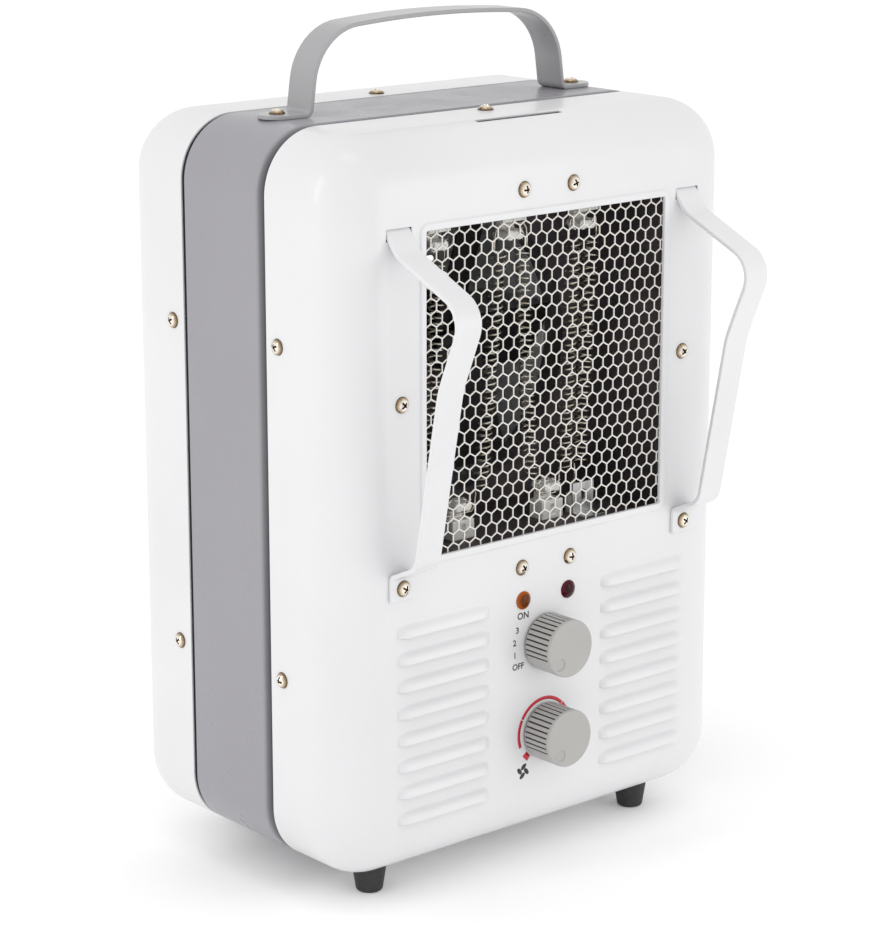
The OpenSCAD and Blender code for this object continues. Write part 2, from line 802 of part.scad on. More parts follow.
// Knob with its face at the front: flutes all round, but not where the pointer is
module knob(z, pointer) {
    face_y = -knob_gap - knob_l;
    wall = 2;
    hub = spindle_r + 2.2;
    grip_l = knob_l - 3.2;
    color(knob_grey) in_place() translate([0, 0, z]) difference() {
        union() {
            difference() {
                translate([0, -knob_gap, 0]) rotate([90, 0, 0]) union() {
                    cylinder(r = knob_r, h = knob_l - 1);
                    translate([0, 0, knob_l - 1]) cylinder(r1 = knob_r, r2 = knob_r - 0.7, h = 1);
                }
                rod([0, 0], knob_r - wall - knob_flute_d, face_y + wall, 0);
            }
            rod([0, 0], hub, face_y + wall - eps, -knob_gap - 1);
        }
        difference() {
            rod([0, 0], spindle_r + snug_play, face_y + 4, 0);
            translate([-spindle_r, face_y, spindle_r - spindle_flat + snug_play])
                cube([2 * spindle_r, knob_l, spindle_r]);
        }
        for (i = [0 : flutes - 1])
            rotate([0, -(pointer + pointer_free / 2 + i * (360 - pointer_free) / (flutes - 1)), 0])
                translate([knob_r - knob_flute_d, -knob_gap - grip_l, -knob_flute_w / 2])
                    cube([knob_flute_d + 1, grip_l + 1, knob_flute_w]);
        plate(face_y - 1, face_y + 0.3) rotate(pointer) translate([knob_r - 4.4, 0]) difference() {
            circle(2.9);
            circle(2.5);
        }
    }
}

module selector_knob() {
    knob(selector_axis, selector_pointer);
}

module thermostat_knob() {
    knob(thermostat_axis, thermostat_pointer);
}

// Round spindle with a flat that runs through the whole knob
module spindle(z, y1) {
    y0 = 4.3 - knob_gap - knob_l;
    color(bare_steel) in_place() difference() {
        rod([0, z], spindle_r, y0, y1);
        translate([-spindle_r, y0 - 1, z + spindle_r - spindle_flat])
            cube([2 * spindle_r, 1 - y0 - knob_gap / 2, spindle_r]);
    }
}

module selector_spindle() {
    spindle(selector_axis, switch_y0 + switch_l);
}

module thermostat_spindle() {
    spindle(thermostat_axis, blade_y - blade_gap);
}

module selector_cam() {
    cam_y = switch_y0 + 8;
    color(black_plastic) in_place() difference() {
        union() {
            rod([0, selector_axis], 7, cam_y, cam_y + 7);
            for (a = [30, 150, 270]) plate(cam_y, cam_y + 7) translate([0, selector_axis]) rotate(a)
                translate([0, -1.5]) square([9.5, 3]);
        }
        rod([0, selector_axis], spindle_r + snug_play, cam_y - 1, cam_y + 8);
    }
}

module selector_switch() {
    wall = 2;
    color(black_plastic) in_place() difference() {
        union() {
            plate(switch_y0, switch_y0 + switch_l) translate([0, selector_axis]) square(switch_w, center = true);
            rod([0, selector_axis], bush_r, bracket_y - bush_l, switch_y0 + eps);
        }
        plate(switch_y0 + 3, switch_y0 + switch_l - 3) translate([0, selector_axis])
            square(switch_w - 2 * wall, center = true);
        rod([0, selector_axis], spindle_r + run_play, bracket_y - bush_l - 1, switch_y0 + switch_l + 1);
    }
}

// Blade terminals on the back of the selector
module selector_terminals() {
    color(brass) in_place() for (x = [-9, 9], z = [-8, 0, 8])
        translate([x - 0.4, switch_y0 + switch_l, selector_axis + z - 2.4]) cube([0.8, 8, 4.8]);
}

// Steel frame of the thermostat, with the bush that carries its spindle
module thermostat_frame() {
    color(bare_steel) in_place() difference() {
        union() {
            plate(switch_y0, switch_y0 + 1.2) translate([0, thermostat_axis]) square([22, 44], center = true);
            rod([0, thermostat_axis], bush_r, bracket_y - bush_l, switch_y0 + eps);
        }
        rod([0, thermostat_axis], spindle_r + run_play, bracket_y - bush_l - 1, switch_y0 + 2);
    }
}

module thermostat_blades() {
    color(brass) in_place() for (i = [0 : 2])
        translate([-3.5, blade_y + i * stack_step, thermostat_axis - 21]) cube([7, 0.6, i == 0 ? 38 : 32 - 3 * i]);
}

// Ceramic spacers that clamp the feet of the thermostat's blades
module thermostat_stack() {
    y0 = switch_y0 + 1.2;
    color(ceramic_white) in_place() {
        for (i = [-1 : 1]) translate([-6, i < 0 ? y0 : blade_y + i * stack_step + 0.6, thermostat_axis - 21])
            cube([12, i < 0 ? blade_y - y0 : stack_step - 0.6, 10]);
        translate([-6, blade_y + 2 * stack_step + 0.6, thermostat_axis - 21]) cube([12, 3, 10]);
    }
}

// Bracket behind the front cover that carries the selector and the thermostat
module control_bracket() {
    web_z = open_bot - 25;
    w = 48;
    color(bare_steel) in_place() difference() {
        strip(-w / 2, w / 2) {
            translate([bracket_y, thermostat_axis - 22]) square([bracket_t, web_z - thermostat_axis + 22]);
            translate([duct_y0, web_z]) square([switch_y0 - duct_y0, bracket_t]);
            translate([duct_y0, web_z + bracket_t]) square([bracket_t, 16]);
        }
        for (z = [selector_axis, thermostat_axis]) rod([0, z], bush_r + 0.1, bracket_y - 1, switch_y0 + 1);
        for (s = [-1, 1])
            rod([s * front_screw_x, open_bot - screw_below], shank_r + thread_play, duct_y0 - 1, duct_y0 + 3);
    }
}

module control_nuts() {
    color(bare_steel) in_place() for (z = [selector_axis, thermostat_axis])
        plate(bracket_y - 2, bracket_y) translate([0, z]) difference() {
            circle(r = 8, $fn = 6);
            circle(bush_r + thread_play);
        }
}

// Sheet steel duct from the fan to the outlet
module heat_chamber() {
    ear = screw_beside + 6;
    color(dark_steel) in_place() difference() {
        union() {
            plate(duct_y0, duct_y1) translate([0, open_mid])
                square([duct_w + 2 * sheet_t, duct_h + 2 * sheet_t], center = true);
            plate(flange_y, duct_y0) {
                translate([0, open_mid]) square([open_w + 2 * mesh_border, open_h + 2 * mesh_border], center = true);
                translate([-open_w / 2 - ear, open_mid - 1.5 - ear_w / 2]) square([open_w + 2 * ear, ear_w]);
                translate([-front_screw_x - 6, open_bot - screw_below - 6])
                    square([2 * front_screw_x + 12, open_h + screw_below + screw_above + 12]);
            }
            plate(duct_y1 - sheet_t, duct_y1) translate([0, open_mid]) square([plate_w, plate_h], center = true);
        }
        plate(flange_y - 1, duct_y1 + 1) translate([0, open_mid]) square([duct_w, duct_h], center = true);
        for (p = front_screw_at) rod(p, shank_r + thread_play, flange_y - 1, duct_y0 + 1);
        for (p = concat(shroud_screw_at, bracket_screw_at)) rod(p, shank_r + thread_play, duct_y1 - 3, duct_y1 + 1);
        for (p = upper_posts) translate([p, coil_y + post_d / 4, ceiling - 1])
            cylinder(r = post_screw_r + 0.2, h = sheet_t + 2);
        for (p = lower_posts) translate([p, coil_y + post_d / 4, floor_z - sheet_t - 1])
            cylinder(r = post_screw_r + 0.2, h = sheet_t + 2);
        translate([start_pin_x, coil_y, ceiling - 1]) cylinder(r = feed_r + 0.1, h = sheet_t + 2);
        translate([feed_x, coil_y, floor_z - sheet_t - 1]) cylinder(r = feed_r + 0.1, h = sheet_t + 2);
    }
}

module fan_shroud() {
    color(dark_steel) in_place() difference() {
        union() {
            plate(shroud_y, shroud_y + sheet_t) translate([0, open_mid]) square([plate_w, plate_h], center = true);
            rod([0, open_mid], fan_r + collar_gap + sheet_t, shroud_y, shroud_y + sheet_t + collar_l);
        }
        rod([0, open_mid], fan_r + collar_gap, shroud_y - 1, shroud_y + sheet_t + collar_l + 1);
        for (p = shroud_screw_at) rod(p, shank_r + hole_play, shroud_y - 1, shroud_y + sheet_t + 1);
        for (p = bracket_screw_at) rod(p, shank_r + thread_play, shroud_y - 1, shroud_y + sheet_t + 1);
    }
}

module shroud_screws() {
    color(bare_steel) in_place() for (p = shroud_screw_at) screw_from_rear(p, shroud_y + sheet_t, plate_screw_l);
}

// Wire over an upper insulator, or under a lower one, from place a across to place b
function hook(a, b, post, at, run_z, up) = [
    [a, coil_y, run_z + 4 * up], [a + 0.6, coil_y, at - 2.5 * up], [a + 2.4, coil_y, at], [post, coil_y, at],
    [b - 2.4, coil_y, at], [b - 0.6, coil_y, at - 2.5 * up], [b, coil_y, run_z + 4 * up]
];
function hook_top(i, post) = hook(run_x1[i] - coil_r, run_x1[i + 1] + coil_r, post, ceiling - hook_drop, run_top, 1);
function hook_low(i, post) = hook(run_x0[i] + coil_r, run_x0[i + 1] - coil_r, post, floor_z + hook_drop, run_bot, -1);
// Curls from place a to place b, each a pair of X and Z, starting at angle a0
function curled(a, b, a0, turns) = [
    for (i = [0 : turns * rings])
        let (s = i / (turns * rings), w = a0 + 360 * i / rings)
        [a[0] + (b[0] - a[0]) * s + coil_r * cos(w), coil_y + coil_r * sin(w), a[1] + (b[1] - a[1]) * s]
];
function run_down(i, turns) = curled([run_x1[i], run_top], [run_x0[i], run_bot], 0, turns);
function run_up(i, turns) = curled([run_x0[i], run_bot], [run_x1[i], run_top], 180, turns);
hook_z = ceiling - hook_drop;
coil_start = [
    [start_pin_x + pin_lead, coil_y, hook_z], [start_pin_x + pin_lead + 2, coil_y, hook_z],
    [upper_posts[0], coil_y, hook_z], [run_x1[0] + coil_r - 2.4, coil_y, hook_z],
    [run_x1[0] + coil_r - 0.6, coil_y, hook_z - 2.5], [run_x1[0] + coil_r, coil_y, run_top + 4]
];
coil_end = [for (z = [run_bot - 3, feed_top + 1.5, feed_top]) [feed_x, coil_y, z]];
// One wire: down, under, up, over, down, under, up, over and down
coil_path = concat(
    coil_start, run_down(0, curls), hook_low(0, low_post_1), run_up(1, curls), hook_top(1, upper_posts[1]),
    run_down(2, curls), hook_low(2, low_post_2), run_up(3, curls), hook_top(3, upper_posts[2]),
    run_down(4, curls - 0.5), coil_end
);

function unit(v) = v / norm(v);
function square_to(n, t) = unit(n - (n * t) * t);
function headings(p) = [for (i = [0 : len(p) - 1]) unit(p[min(i + 1, len(p) - 1)] - p[max(i - 1, 0)])];
function carried(t, n0) = [
    for (i = 0, n = square_to(n0, t[0]); i < len(t); i = i + 1, n = i < len(t) ? square_to(n, t[i]) : n) n
];

// A closed tube along a path
module tube(p, r, sides, n0) {
    t = headings(p);
    n = carried(t, n0);
    last = (len(p) - 1) * sides;
    polyhedron(
        points = [
            for (i = [0 : len(p) - 1], j = [0 : sides - 1])
                p[i] + r * (cos(360 * j / sides) * n[i] + sin(360 * j / sides) * cross(t[i], n[i]))
        ],
        faces = concat(
            [for (j = [1 : sides - 2]) [0, j, j + 1]],
            [for (j = [1 : sides - 2]) [last, last + j + 1, last + j]],
            [
                for (i = [0 : len(p) - 2], j = [0 : sides - 1])
                    [i * sides + j, (i + 1) * sides + j, (i + 1) * sides + (j + 1) % sides]
            ],
            [
                for (i = [0 : len(p) - 2], j = [0 : sides - 1])
                    [i * sides + j, (i + 1) * sides + (j + 1) % sides, i * sides + (j + 1) % sides]
            ]
        )
    );
}

// Least distance between two stretches of a path that aren't neighbours
function self_gap(p, apart) = min([
    for (i = [0 : len(p) - 1 - apart]) min([for (j = [i + apart : len(p) - 1]) norm(p[i] - p[j])])
]);

module heating_coil() {
    echo(heating_coil_least_gap_mm = self_gap(coil_path, rings - 2) - 2 * wire_r);
    color(bare_steel) in_place() tube(coil_path, wire_r, wire_sides, [0, 1, 0]);
}

// Ceramic insulator that hangs from the ceiling at its origin: block, neck and two lobes
module insulator() {
    neck_y = wire_r + coil_play;
    difference() {
        union() {
            translate([-post_w / 2, -post_d / 2, -neck_z]) cube([post_w, post_d, neck_z]);
            translate([-4, neck_y, -neck_z - neck_h - lobe_r]) cube([8, post_d / 2 - neck_y, neck_h + lobe_r + 1]);
            for (s = [-1, 1]) translate([s * (lobe_r + 0.3), 0, -neck_z - neck_h - lobe_r]) rotate([90, 0, 0])
                cylinder(r = lobe_r, h = post_d, center = true);
            translate([-2, -post_d / 2, -neck_z - neck_h - 2 * lobe_r + 0.5]) cube([4, post_d, 2 * lobe_r - 1]);
            translate([-4, 0, -post_h]) cube([8, post_d / 2, post_h - neck_z - neck_h - lobe_r]);
        }
        translate([0, -post_d / 2, -neck_z / 2]) rotate([90, 0, 0])
            linear_extrude(4, center = true) rotate(90) slot(5, 2.6);
        translate([0, post_d / 4, -6]) cylinder(r = post_screw_r + thread_play, h = 7);
    }
}

module insulators() {
    color(ceramic_white) in_place() {
        for (x = upper_posts) translate([x, coil_y, ceiling]) insulator();
        for (x = lower_posts) translate([x, coil_y, floor_z]) mirror([0, 0, 1]) insulator();
    }
}

module insulator_screws() {
    color(bare_steel) in_place() {
        for (x = upper_posts) translate([x, coil_y + post_d / 4, ceiling + sheet_t]) post_screw();
        for (x = lower_posts) translate([x, coil_y + post_d / 4, floor_z - sheet_t]) mirror([0, 0, 1]) post_screw();
    }
}

module post_screw() {
    difference() {
        union() {
            translate([0, 0, -sheet_t - 5]) cylinder(r = post_screw_r, h = sheet_t + 5 + eps);
            cylinder(r1 = 2.8, r2 = 1.8, h = 1.8);
        }
        translate([-3, -0.4, 1]) cube([6, 0.8, 2]);
    }
}

// Pins that feed the coil: one through the duct's ceiling, one through its floor
module coil_terminals() {
    out = 13;
    color(brass) in_place() {
        translate([start_pin_x, coil_y, hook_z]) rotate([0, 90, 0]) cylinder(r = feed_pin_r, h = pin_lead);
        translate([start_pin_x, coil_y, hook_z - feed_pin_r])
            cylinder(r = feed_pin_r, h = hook_drop + feed_pin_r + sheet_t + out);
        translate([feed_x, coil_y, under_duct - out]) cylinder(r = feed_pin_r, h = feed_top - under_duct + out);
    }
}

module bush(below, above) {
    difference() {
        union() {
            translate([0, 0, -below]) cylinder(r = feed_r, h = below + above + sheet_t);
            translate([0, 0, sheet_t]) cylinder(r = feed_r + 1.5, h = above);
        }
        translate([0, 0, -below - 1]) cylinder(r = feed_pin_r + snug_play, h = below + above + sheet_t + 2);
    }
}

module terminal_bushes() {
    color(ceramic_white) in_place() {
        translate([start_pin_x, coil_y, ceiling]) bush(5, 5);
        translate([feed_x, coil_y, floor_z]) mirror([0, 0, 1]) bush(8, 4);
    }
}

// Folded plate in front of the lower feed pin
module terminal_shield() {
    w = 13;
    y = coil_y - feed_r - 2.2;
    color(bare_steel) in_place() difference() {
        strip(feed_x - w / 2, feed_x + w / 2) {
            translate([y, floor_z]) square([1, 15]);
            translate([y - 8, floor_z]) square([8, 1]);
        }
        plate(y - 1, y + 2) translate([feed_x, floor_z + 9]) rotate(90) slot(5, 2.4);
    }
}

module thermal_cutout() {
    x = duct_w / 2 + sheet_t;
    color(bare_steel) in_place() translate([x, duct_y0 + 30, open_mid + 20]) rotate([0, 90, 0]) {
        cylinder(r = 8, h = 3);
        cylinder(r = 6.5, h = 8);
        for (s = [-1, 1]) translate([-2.4, s * 3 - 0.4, 8 - eps]) cube([4.8, 0.8, 6]);
    }
}

// Fan: slanted blades on a hub, trimmed to a circle
module fan_blade() {
    color(bare_steel) in_place() difference() {
        intersection() {
            union() {
                rod([0, open_mid], hub_r, fan_y - hub_l / 2, fan_y + hub_l / 2);
                for (i = [0 : fan_blades - 1]) translate([0, fan_y, open_mid]) rotate([0, i * 360 / fan_blades, 0])
                    rotate([blade_angle, 0, 0]) translate([hub_r - 3, -blade_t / 2, -blade_chord / 2])
                        cube([fan_r - hub_r + 6, blade_t, blade_chord]);
            }
            rod([0, open_mid], fan_r, fan_y - 20, fan_y + 20);
        }
        rod([0, open_mid], shaft_r + snug_play, fan_y - hub_l, fan_y + hub_l);
    }
}

module motor_shaft() {
    color(bare_steel) in_place() rod([0, open_mid], shaft_r, fan_y - hub_l / 2 - 1, stack_y1 + arm_t + bridge_h + 4);
}

module motor_rotor() {
    color(dark_steel) in_place() difference() {
        rod([0, open_mid], rotor_r, stack_y0 + 1, stack_y1 - 1);
        rod([0, open_mid], shaft_r + snug_play, stack_y0, stack_y1);
    }
}

core_top = rotor_r + rotor_gap + 8;
window_top = -rotor_r - rotor_gap - 7;
window_h = winding_build * 2 + 4;
core_bot = window_top - window_h - core_h;

// Plate stack of the motor: round the rotor above, and through the winding below
module motor_stator() {
    color(bare_steel) in_place() difference() {
        plate(stack_y0, stack_y1) translate([-stator_w / 2, open_mid + core_bot])
            square([stator_w, core_top - core_bot]);
        rod([0, open_mid], rotor_r + rotor_gap, stack_y0 - 1, stack_y1 + 1);
        plate(stack_y0 - 1, stack_y1 + 1) translate([-stator_w / 2 + 8, open_mid + window_top - window_h])
            square([stator_w - 16, window_h]);
        for (s = [-1, 1]) rod([s * motor_screw_x, open_mid], shank_r + hole_play, stack_y0 - 1, stack_y1 + 1);
    }
}

module motor_winding() {
    gap = 0.3;
    l = stator_w - 18;
    z = open_mid + core_bot + core_h / 2;
    color(copper) in_place() strip(-l / 2, l / 2) translate([(stack_y0 + stack_y1) / 2, z]) difference() {
        rounded(stack_l + 2 * gap + 2 * winding_build, core_h + 2 * gap + 2 * winding_build, 4);
        square([stack_l + 2 * gap, core_h + 2 * gap], center = true);
    }
}

// Bearing bridge: feet on the stack, and a boss with the bore, standing off along +Y
module bridge() {
    foot_x0 = rotor_r + rotor_gap + 1.5;
    difference() {
        union() {
            raised(-6, 6) {
                for (s = [-1, 1]) {
                    translate([s > 0 ? foot_x0 : -stator_w / 2, 0]) square([stator_w / 2 - foot_x0, bridge_t]);
                    translate([s > 0 ? foot_x0 : -foot_x0 - bridge_t, bridge_t]) square([bridge_t, bridge_h]);
                }
                translate([-foot_x0, bridge_h]) square([2 * foot_x0, bridge_t]);
            }
            rod([0, 0], 5.5, 2, bridge_h + bridge_t + 2);
        }
        rod([0, 0], shaft_r + run_play, 0, bridge_h + bridge_t + 4);
        for (s = [-1, 1]) rod([s * motor_screw_x, 0], shank_r + hole_play, -1, bridge_t + 1);
    }
}

module motor_bearing_front() {
    color(bare_steel) in_place() translate([0, stack_y0, open_mid]) mirror([0, 1, 0]) bridge();
}

module motor_bearing_rear() {
    color(bare_steel) in_place() translate([0, stack_y1 + arm_t, open_mid]) bridge();
}

// Bracket that carries the motor behind the fan, fixed to the shroud at both ends
module motor_bracket() {
    y0 = shroud_y + sheet_t;
    color(bare_steel) in_place() difference() {
        raised(open_mid - arm_h / 2, open_mid + arm_h / 2) {
            translate([-arm_x - arm_t, stack_y1]) square([2 * (arm_x + arm_t), arm_t]);
            for (s = [-1, 1]) {
                translate([s > 0 ? arm_x : -arm_x - arm_t, y0]) square([arm_t, stack_y1 - y0]);
                translate([s > 0 ? arm_x : -arm_x - arm_foot, y0]) square([arm_foot, arm_t]);
            }
        }
        rod([0, open_mid], 8, stack_y1 - 1, stack_y1 + arm_t + 1);
        for (s = [-1, 1]) rod([s * motor_screw_x, open_mid], shank_r + hole_play, stack_y1 - 1, stack_y1 + arm_t + 1);
        for (p = bracket_screw_at) rod(p, shank_r + hole_play, y0 - 1, y0 + arm_t + 1);
    }
}

module bracket_screws() {
    color(bare_steel) in_place() for (p = bracket_screw_at)
        screw_from_rear(p, shroud_y + sheet_t + arm_t, plate_screw_l);
}

module motor_screws() {
    l = stack_l + arm_t + 2 * bridge_t + nut_h + 1;
    color(bare_steel) in_place() for (s = [-1, 1])
        screw_from_front([s * motor_screw_x, open_mid], stack_y0 - bridge_t, l);
}

module motor_nuts() {
    color(bare_steel) in_place() for (s = [-1, 1])
        translate([s * motor_screw_x, stack_y1 + arm_t + bridge_t, open_mid]) rotate([-90, 0, 0])
            rotate(30) nut(shank_r + thread_play);
}

// Three-way terminal block under the duct
module terminal_block() {
    w = 36;
    h = 14;
    color(ceramic_white) in_place() difference() {
        translate([block_x - w / 2, block_y - 8, under_duct - h]) cube([w, 16, h]);
        for (i = [-1 : 1]) {
            translate([block_x + i * w / 3, block_y, under_duct - h - 1]) cylinder(r = 3, h = 6);
            rod([block_x + i * w / 3, under_duct - 8], 2, block_y - 9, block_y + 9);
        }
    }
}

// Bushing in the rear cover, with the bore that takes the supply cord
module cord_bushing() {
    color(black_plastic) in_place() difference() {
        union() {
            rod(cord_at, cord_r + 2, body_d - sheet_t - 8, body_d + bushing_lip);
            rod(cord_at, cord_r + 4.5, body_d, body_d + bushing_lip);
            rod(cord_at, cord_r + 3.4, body_d - sheet_t - 3, body_d - sheet_t);
        }
        rod(cord_at, cord_r, body_d - sheet_t - 9, body_d + bushing_lip + 1);
    }
}

// Folded bracket under the duct: two ears carry the pendulum's pin, and two bars between them stop its swing
module tilt_bracket() {
    ear_w = 2 * (stop_y + ear_t);
    color(bare_steel) in_place() translate([tilt_at[0], tilt_at[1], 0]) difference() {
        union() {
            plate(-ear_w / 2, ear_w / 2) {
                translate([-tilt_gauge / 2 - ear_t, under_duct - ear_t]) square([tilt_gauge + 2 * ear_t, ear_t]);
                for (s = [-1, 1]) translate([s > 0 ? tilt_gauge / 2 : -tilt_gauge / 2 - ear_t, tilt_pin_z - stop_z - 4])
                    square([ear_t, under_duct - ear_t - tilt_pin_z + stop_z + 4]);
            }
            for (y = [-stop_y - ear_t, stop_y]) translate([-tilt_gauge / 2, y, tilt_pin_z - stop_z - 4])
                cube([tilt_gauge, ear_t, 4]);
        }
        translate([-tilt_gauge, 0, tilt_pin_z]) rotate([0, 90, 0]) cylinder(r = pin_r + snug_play, h = 2 * tilt_gauge);
    }
}

module tilt_pin() {
    color(bare_steel) in_place() translate([tilt_at[0], tilt_at[1], tilt_pin_z]) rotate([0, 90, 0])
        cylinder(r = pin_r, h = tilt_gauge + 5, center = true);
}

// Pendulum that hangs on the pin: hub, arm and bob
module tilt_pendulum() {
    color(bare_steel) in_place() translate([tilt_at[0], tilt_at[1], tilt_pin_z]) difference() {
        union() {
            rotate([0, 90, 0]) cylinder(r = 4, h = tilt_gauge - 1, center = true);
            translate([-1.5, -pendulum_w / 2, -arm_l]) cube([3, pendulum_w, arm_l]);
            translate([0, 0, -arm_l]) rotate([0, 90, 0]) cylinder(r = bob_r, h = 12, center = true);
        }
        rotate([0, 90, 0]) cylinder(r = pin_r + run_play, h = tilt_gauge, center = true);
    }
}

// Snap switch on the bracket's outer ear
module tilt_switch() {
    x1 = tilt_at[0] - tilt_gauge / 2 - ear_t;
    color(black_plastic) in_place() translate([x1 - 6.4, tilt_at[1] - 14, tilt_pin_z + 4.5]) {
        cube([6.4, 20, 10]);
        for (i = [0 : 2]) translate([2.8, 2 + 7 * i, 10 - eps]) cube([0.8, 3, 5]);
    }
}

front_cover();
rear_cover();
housing_band();
casing_screws();
carry_handle();
handle_screws();
handle_nuts();
guard_left();
guard_right();
guard_screws();
foot_front_left();
foot_front_right();
foot_rear_left();
foot_rear_right();
grille_mesh();
front_screws();
power_lamp();
caution_lamp();
selector_knob();
selector_spindle();
selector_cam();
selector_switch();
selector_terminals();
thermostat_knob();
thermostat_spindle();
thermostat_frame();
thermostat_blades();
thermostat_stack();
control_bracket();
control_nuts();
heat_chamber();
fan_shroud();
shroud_screws();
heating_coil();
insulators();
insulator_screws();
coil_terminals();
terminal_bushes();
terminal_shield();
thermal_cutout();
fan_blade();
motor_shaft();
motor_rotor();
motor_stator();
motor_winding();
motor_bearing_front();
motor_bearing_rear();
motor_bracket();
bracket_screws();
motor_screws();
motor_nuts();
terminal_block();
cord_bushing();
tilt_bracket();
tilt_pin();
tilt_pendulum();
tilt_switch();
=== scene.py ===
"""Portable fan heater: white drawn covers on a grey band, wire mesh, strap guards and fluted knobs.

Shapes are drawn in millimetres: x to the right, y rearwards from the front face, z up from the floor.
Each finished piece is set into the frame in metres.
"""

import logging
import math
import random
from dataclasses import dataclass, field
from enum import Enum

import bmesh
import bpy
from bmesh.types import BMFace, BMVert, BMesh
from bpy.types import Material, Mesh, Node, NodeSocket, NodeTree, Object
from mathutils import Matrix, Vector


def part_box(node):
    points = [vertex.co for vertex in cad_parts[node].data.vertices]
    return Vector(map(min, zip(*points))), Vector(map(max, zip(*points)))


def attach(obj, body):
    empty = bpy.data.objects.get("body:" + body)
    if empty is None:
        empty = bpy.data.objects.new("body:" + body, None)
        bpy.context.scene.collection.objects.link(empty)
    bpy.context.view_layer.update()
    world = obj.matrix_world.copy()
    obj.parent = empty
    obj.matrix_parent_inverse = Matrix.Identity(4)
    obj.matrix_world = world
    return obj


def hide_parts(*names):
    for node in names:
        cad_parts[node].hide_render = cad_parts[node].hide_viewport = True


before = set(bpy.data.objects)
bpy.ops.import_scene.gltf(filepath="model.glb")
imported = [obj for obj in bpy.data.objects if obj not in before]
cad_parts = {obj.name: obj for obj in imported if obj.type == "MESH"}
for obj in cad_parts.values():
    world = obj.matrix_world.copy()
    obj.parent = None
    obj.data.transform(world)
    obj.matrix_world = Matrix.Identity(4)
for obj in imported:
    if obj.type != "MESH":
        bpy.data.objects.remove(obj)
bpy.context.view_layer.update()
log = logging.getLogger("heater")

MM = 0.001
QUARTER = math.pi / 2
MERGE = 0.002
ROUND_STEPS = 32
NOISE_RANGE = (0.3, 0.7)
BODY_W = 235.0
BODY_H = 330.0
BODY_D = 159.0
CORNER_R = 28.0
SHEET = 1.0
FOOT_H = 12.8
TOP_Z = FOOT_H + BODY_H
MID_Z = FOOT_H + BODY_H / 2
OPEN_W = 141.0
OPEN_H = 143.0
OPEN_Z = TOP_Z - 41.0 - OPEN_H / 2
GUARD_X = 85.0
GUARD_TOP = TOP_Z - 40.0
HEEL_DROP = 141.5
TOE_DROP = 7.5
STRAP = 2.0
HANDLE_Y = 80.0
LAMP_X = 13.6
LAMP_Z = FOOT_H + 115.6
SELECTOR_Z = FOOT_H + 94
THERMOSTAT_Z = FOOT_H + 51.5
FRONT_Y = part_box("rear_cover")[1].y / MM - BODY_D
INTO_FRAME = Matrix.Scale(MM, 4) @ Matrix.Translation((0, FRONT_Y, 0))

Colour = tuple[float, float, float]
Point = tuple[float, float, float]


class Body(Enum):
    """The bodies that the pieces ride on."""

    HEATER = "heater"
    SELECTOR = "selector"
    THERMOSTAT = "thermostat"


class Finish:
    """A material that is built once and then shared."""

    name: str
    slot: str | None

    def material(self) -> Material:
        """Build the material, or return it if it is there.

        Returns:
            The material with its nodes.
        """
        found = bpy.data.materials.get(self.name)
        if found:
            return found
        made = bpy.data.materials.new(self.name)
        made.use_nodes = True
        tree = made.node_tree
        self.dress(tree, tree.nodes["Principled BSDF"])
        return made

    def dress(self, tree: NodeTree, shader: Node) -> None:
        """Set the shader's values and link its textures.

        Args:
            tree: The material's node tree.
            shader: Its shader.
        """
        raise NotImplementedError


def put(node: Node, values: dict[str, object]) -> None:
    """Set the unlinked inputs of a node, by their names."""
    for name, value in values.items():
        node.inputs[name].default_value = value


def coordinates(tree: NodeTree, scale: Point = (1, 1, 1), at: Point = (0, 0, 0)) -> NodeSocket:
    """Give Object coordinates, moved so that `at` is the middle and stretched by `scale`.

    Args:
        tree: The material's node tree.
        scale: Stretch along each axis.
        at: Point in the frame, in metres, that becomes the middle.

    Returns:
        The vector socket.
    """
    source = tree.nodes.new("ShaderNodeTexCoord")
    mapping = tree.nodes.new("ShaderNodeMapping")
    put(mapping, {"Scale": scale, "Location": [-a * s for a, s in zip(at, scale)]})
    tree.links.new(source.outputs["Object"], mapping.inputs["Vector"])
    return mapping.outputs["Vector"]


def noise(tree: NodeTree, where: NodeSocket, scale: float, detail: float = 3.0) -> NodeSocket:
    """Add a noise texture.

    Args:
        tree: The material's node tree.
        where: Coordinates to read.
        scale: Waves per metre.
        detail: Octaves of finer noise.

    Returns:
        The noise as a number from 0 to 1.
    """
    node = tree.nodes.new("ShaderNodeTexNoise")
    put(node, {"Scale": scale, "Detail": detail})
    tree.links.new(where, node.inputs["Vector"])
    return node.outputs["Fac"]


def ramp(tree: NodeTree, value: NodeSocket, stops: list[tuple[float, Colour]]) -> NodeSocket:
    """Turn a number into a colour.

    Args:
        tree: The material's node tree.
        value: The number.
        stops: Pairs of place and colour, in order.

    Returns:
        The colour socket.
    """
    node = tree.nodes.new("ShaderNodeValToRGB")
    marks = node.color_ramp.elements
    while len(marks) < len(stops):
        marks.new(0.5)
    for mark, (place, colour) in zip(marks, stops):
        mark.position = place
        mark.color = (*colour, 1)
    tree.links.new(value, node.inputs["Fac"])
    return node.outputs["Color"]


def paint(tree: NodeTree, shader: Node, value: NodeSocket, stops: list[tuple[float, Colour]]) -> None:
    """Colour the shader by a number, with the stops of a ramp."""
    tree.links.new(ramp(tree, value, stops), shader.inputs["Base Color"])


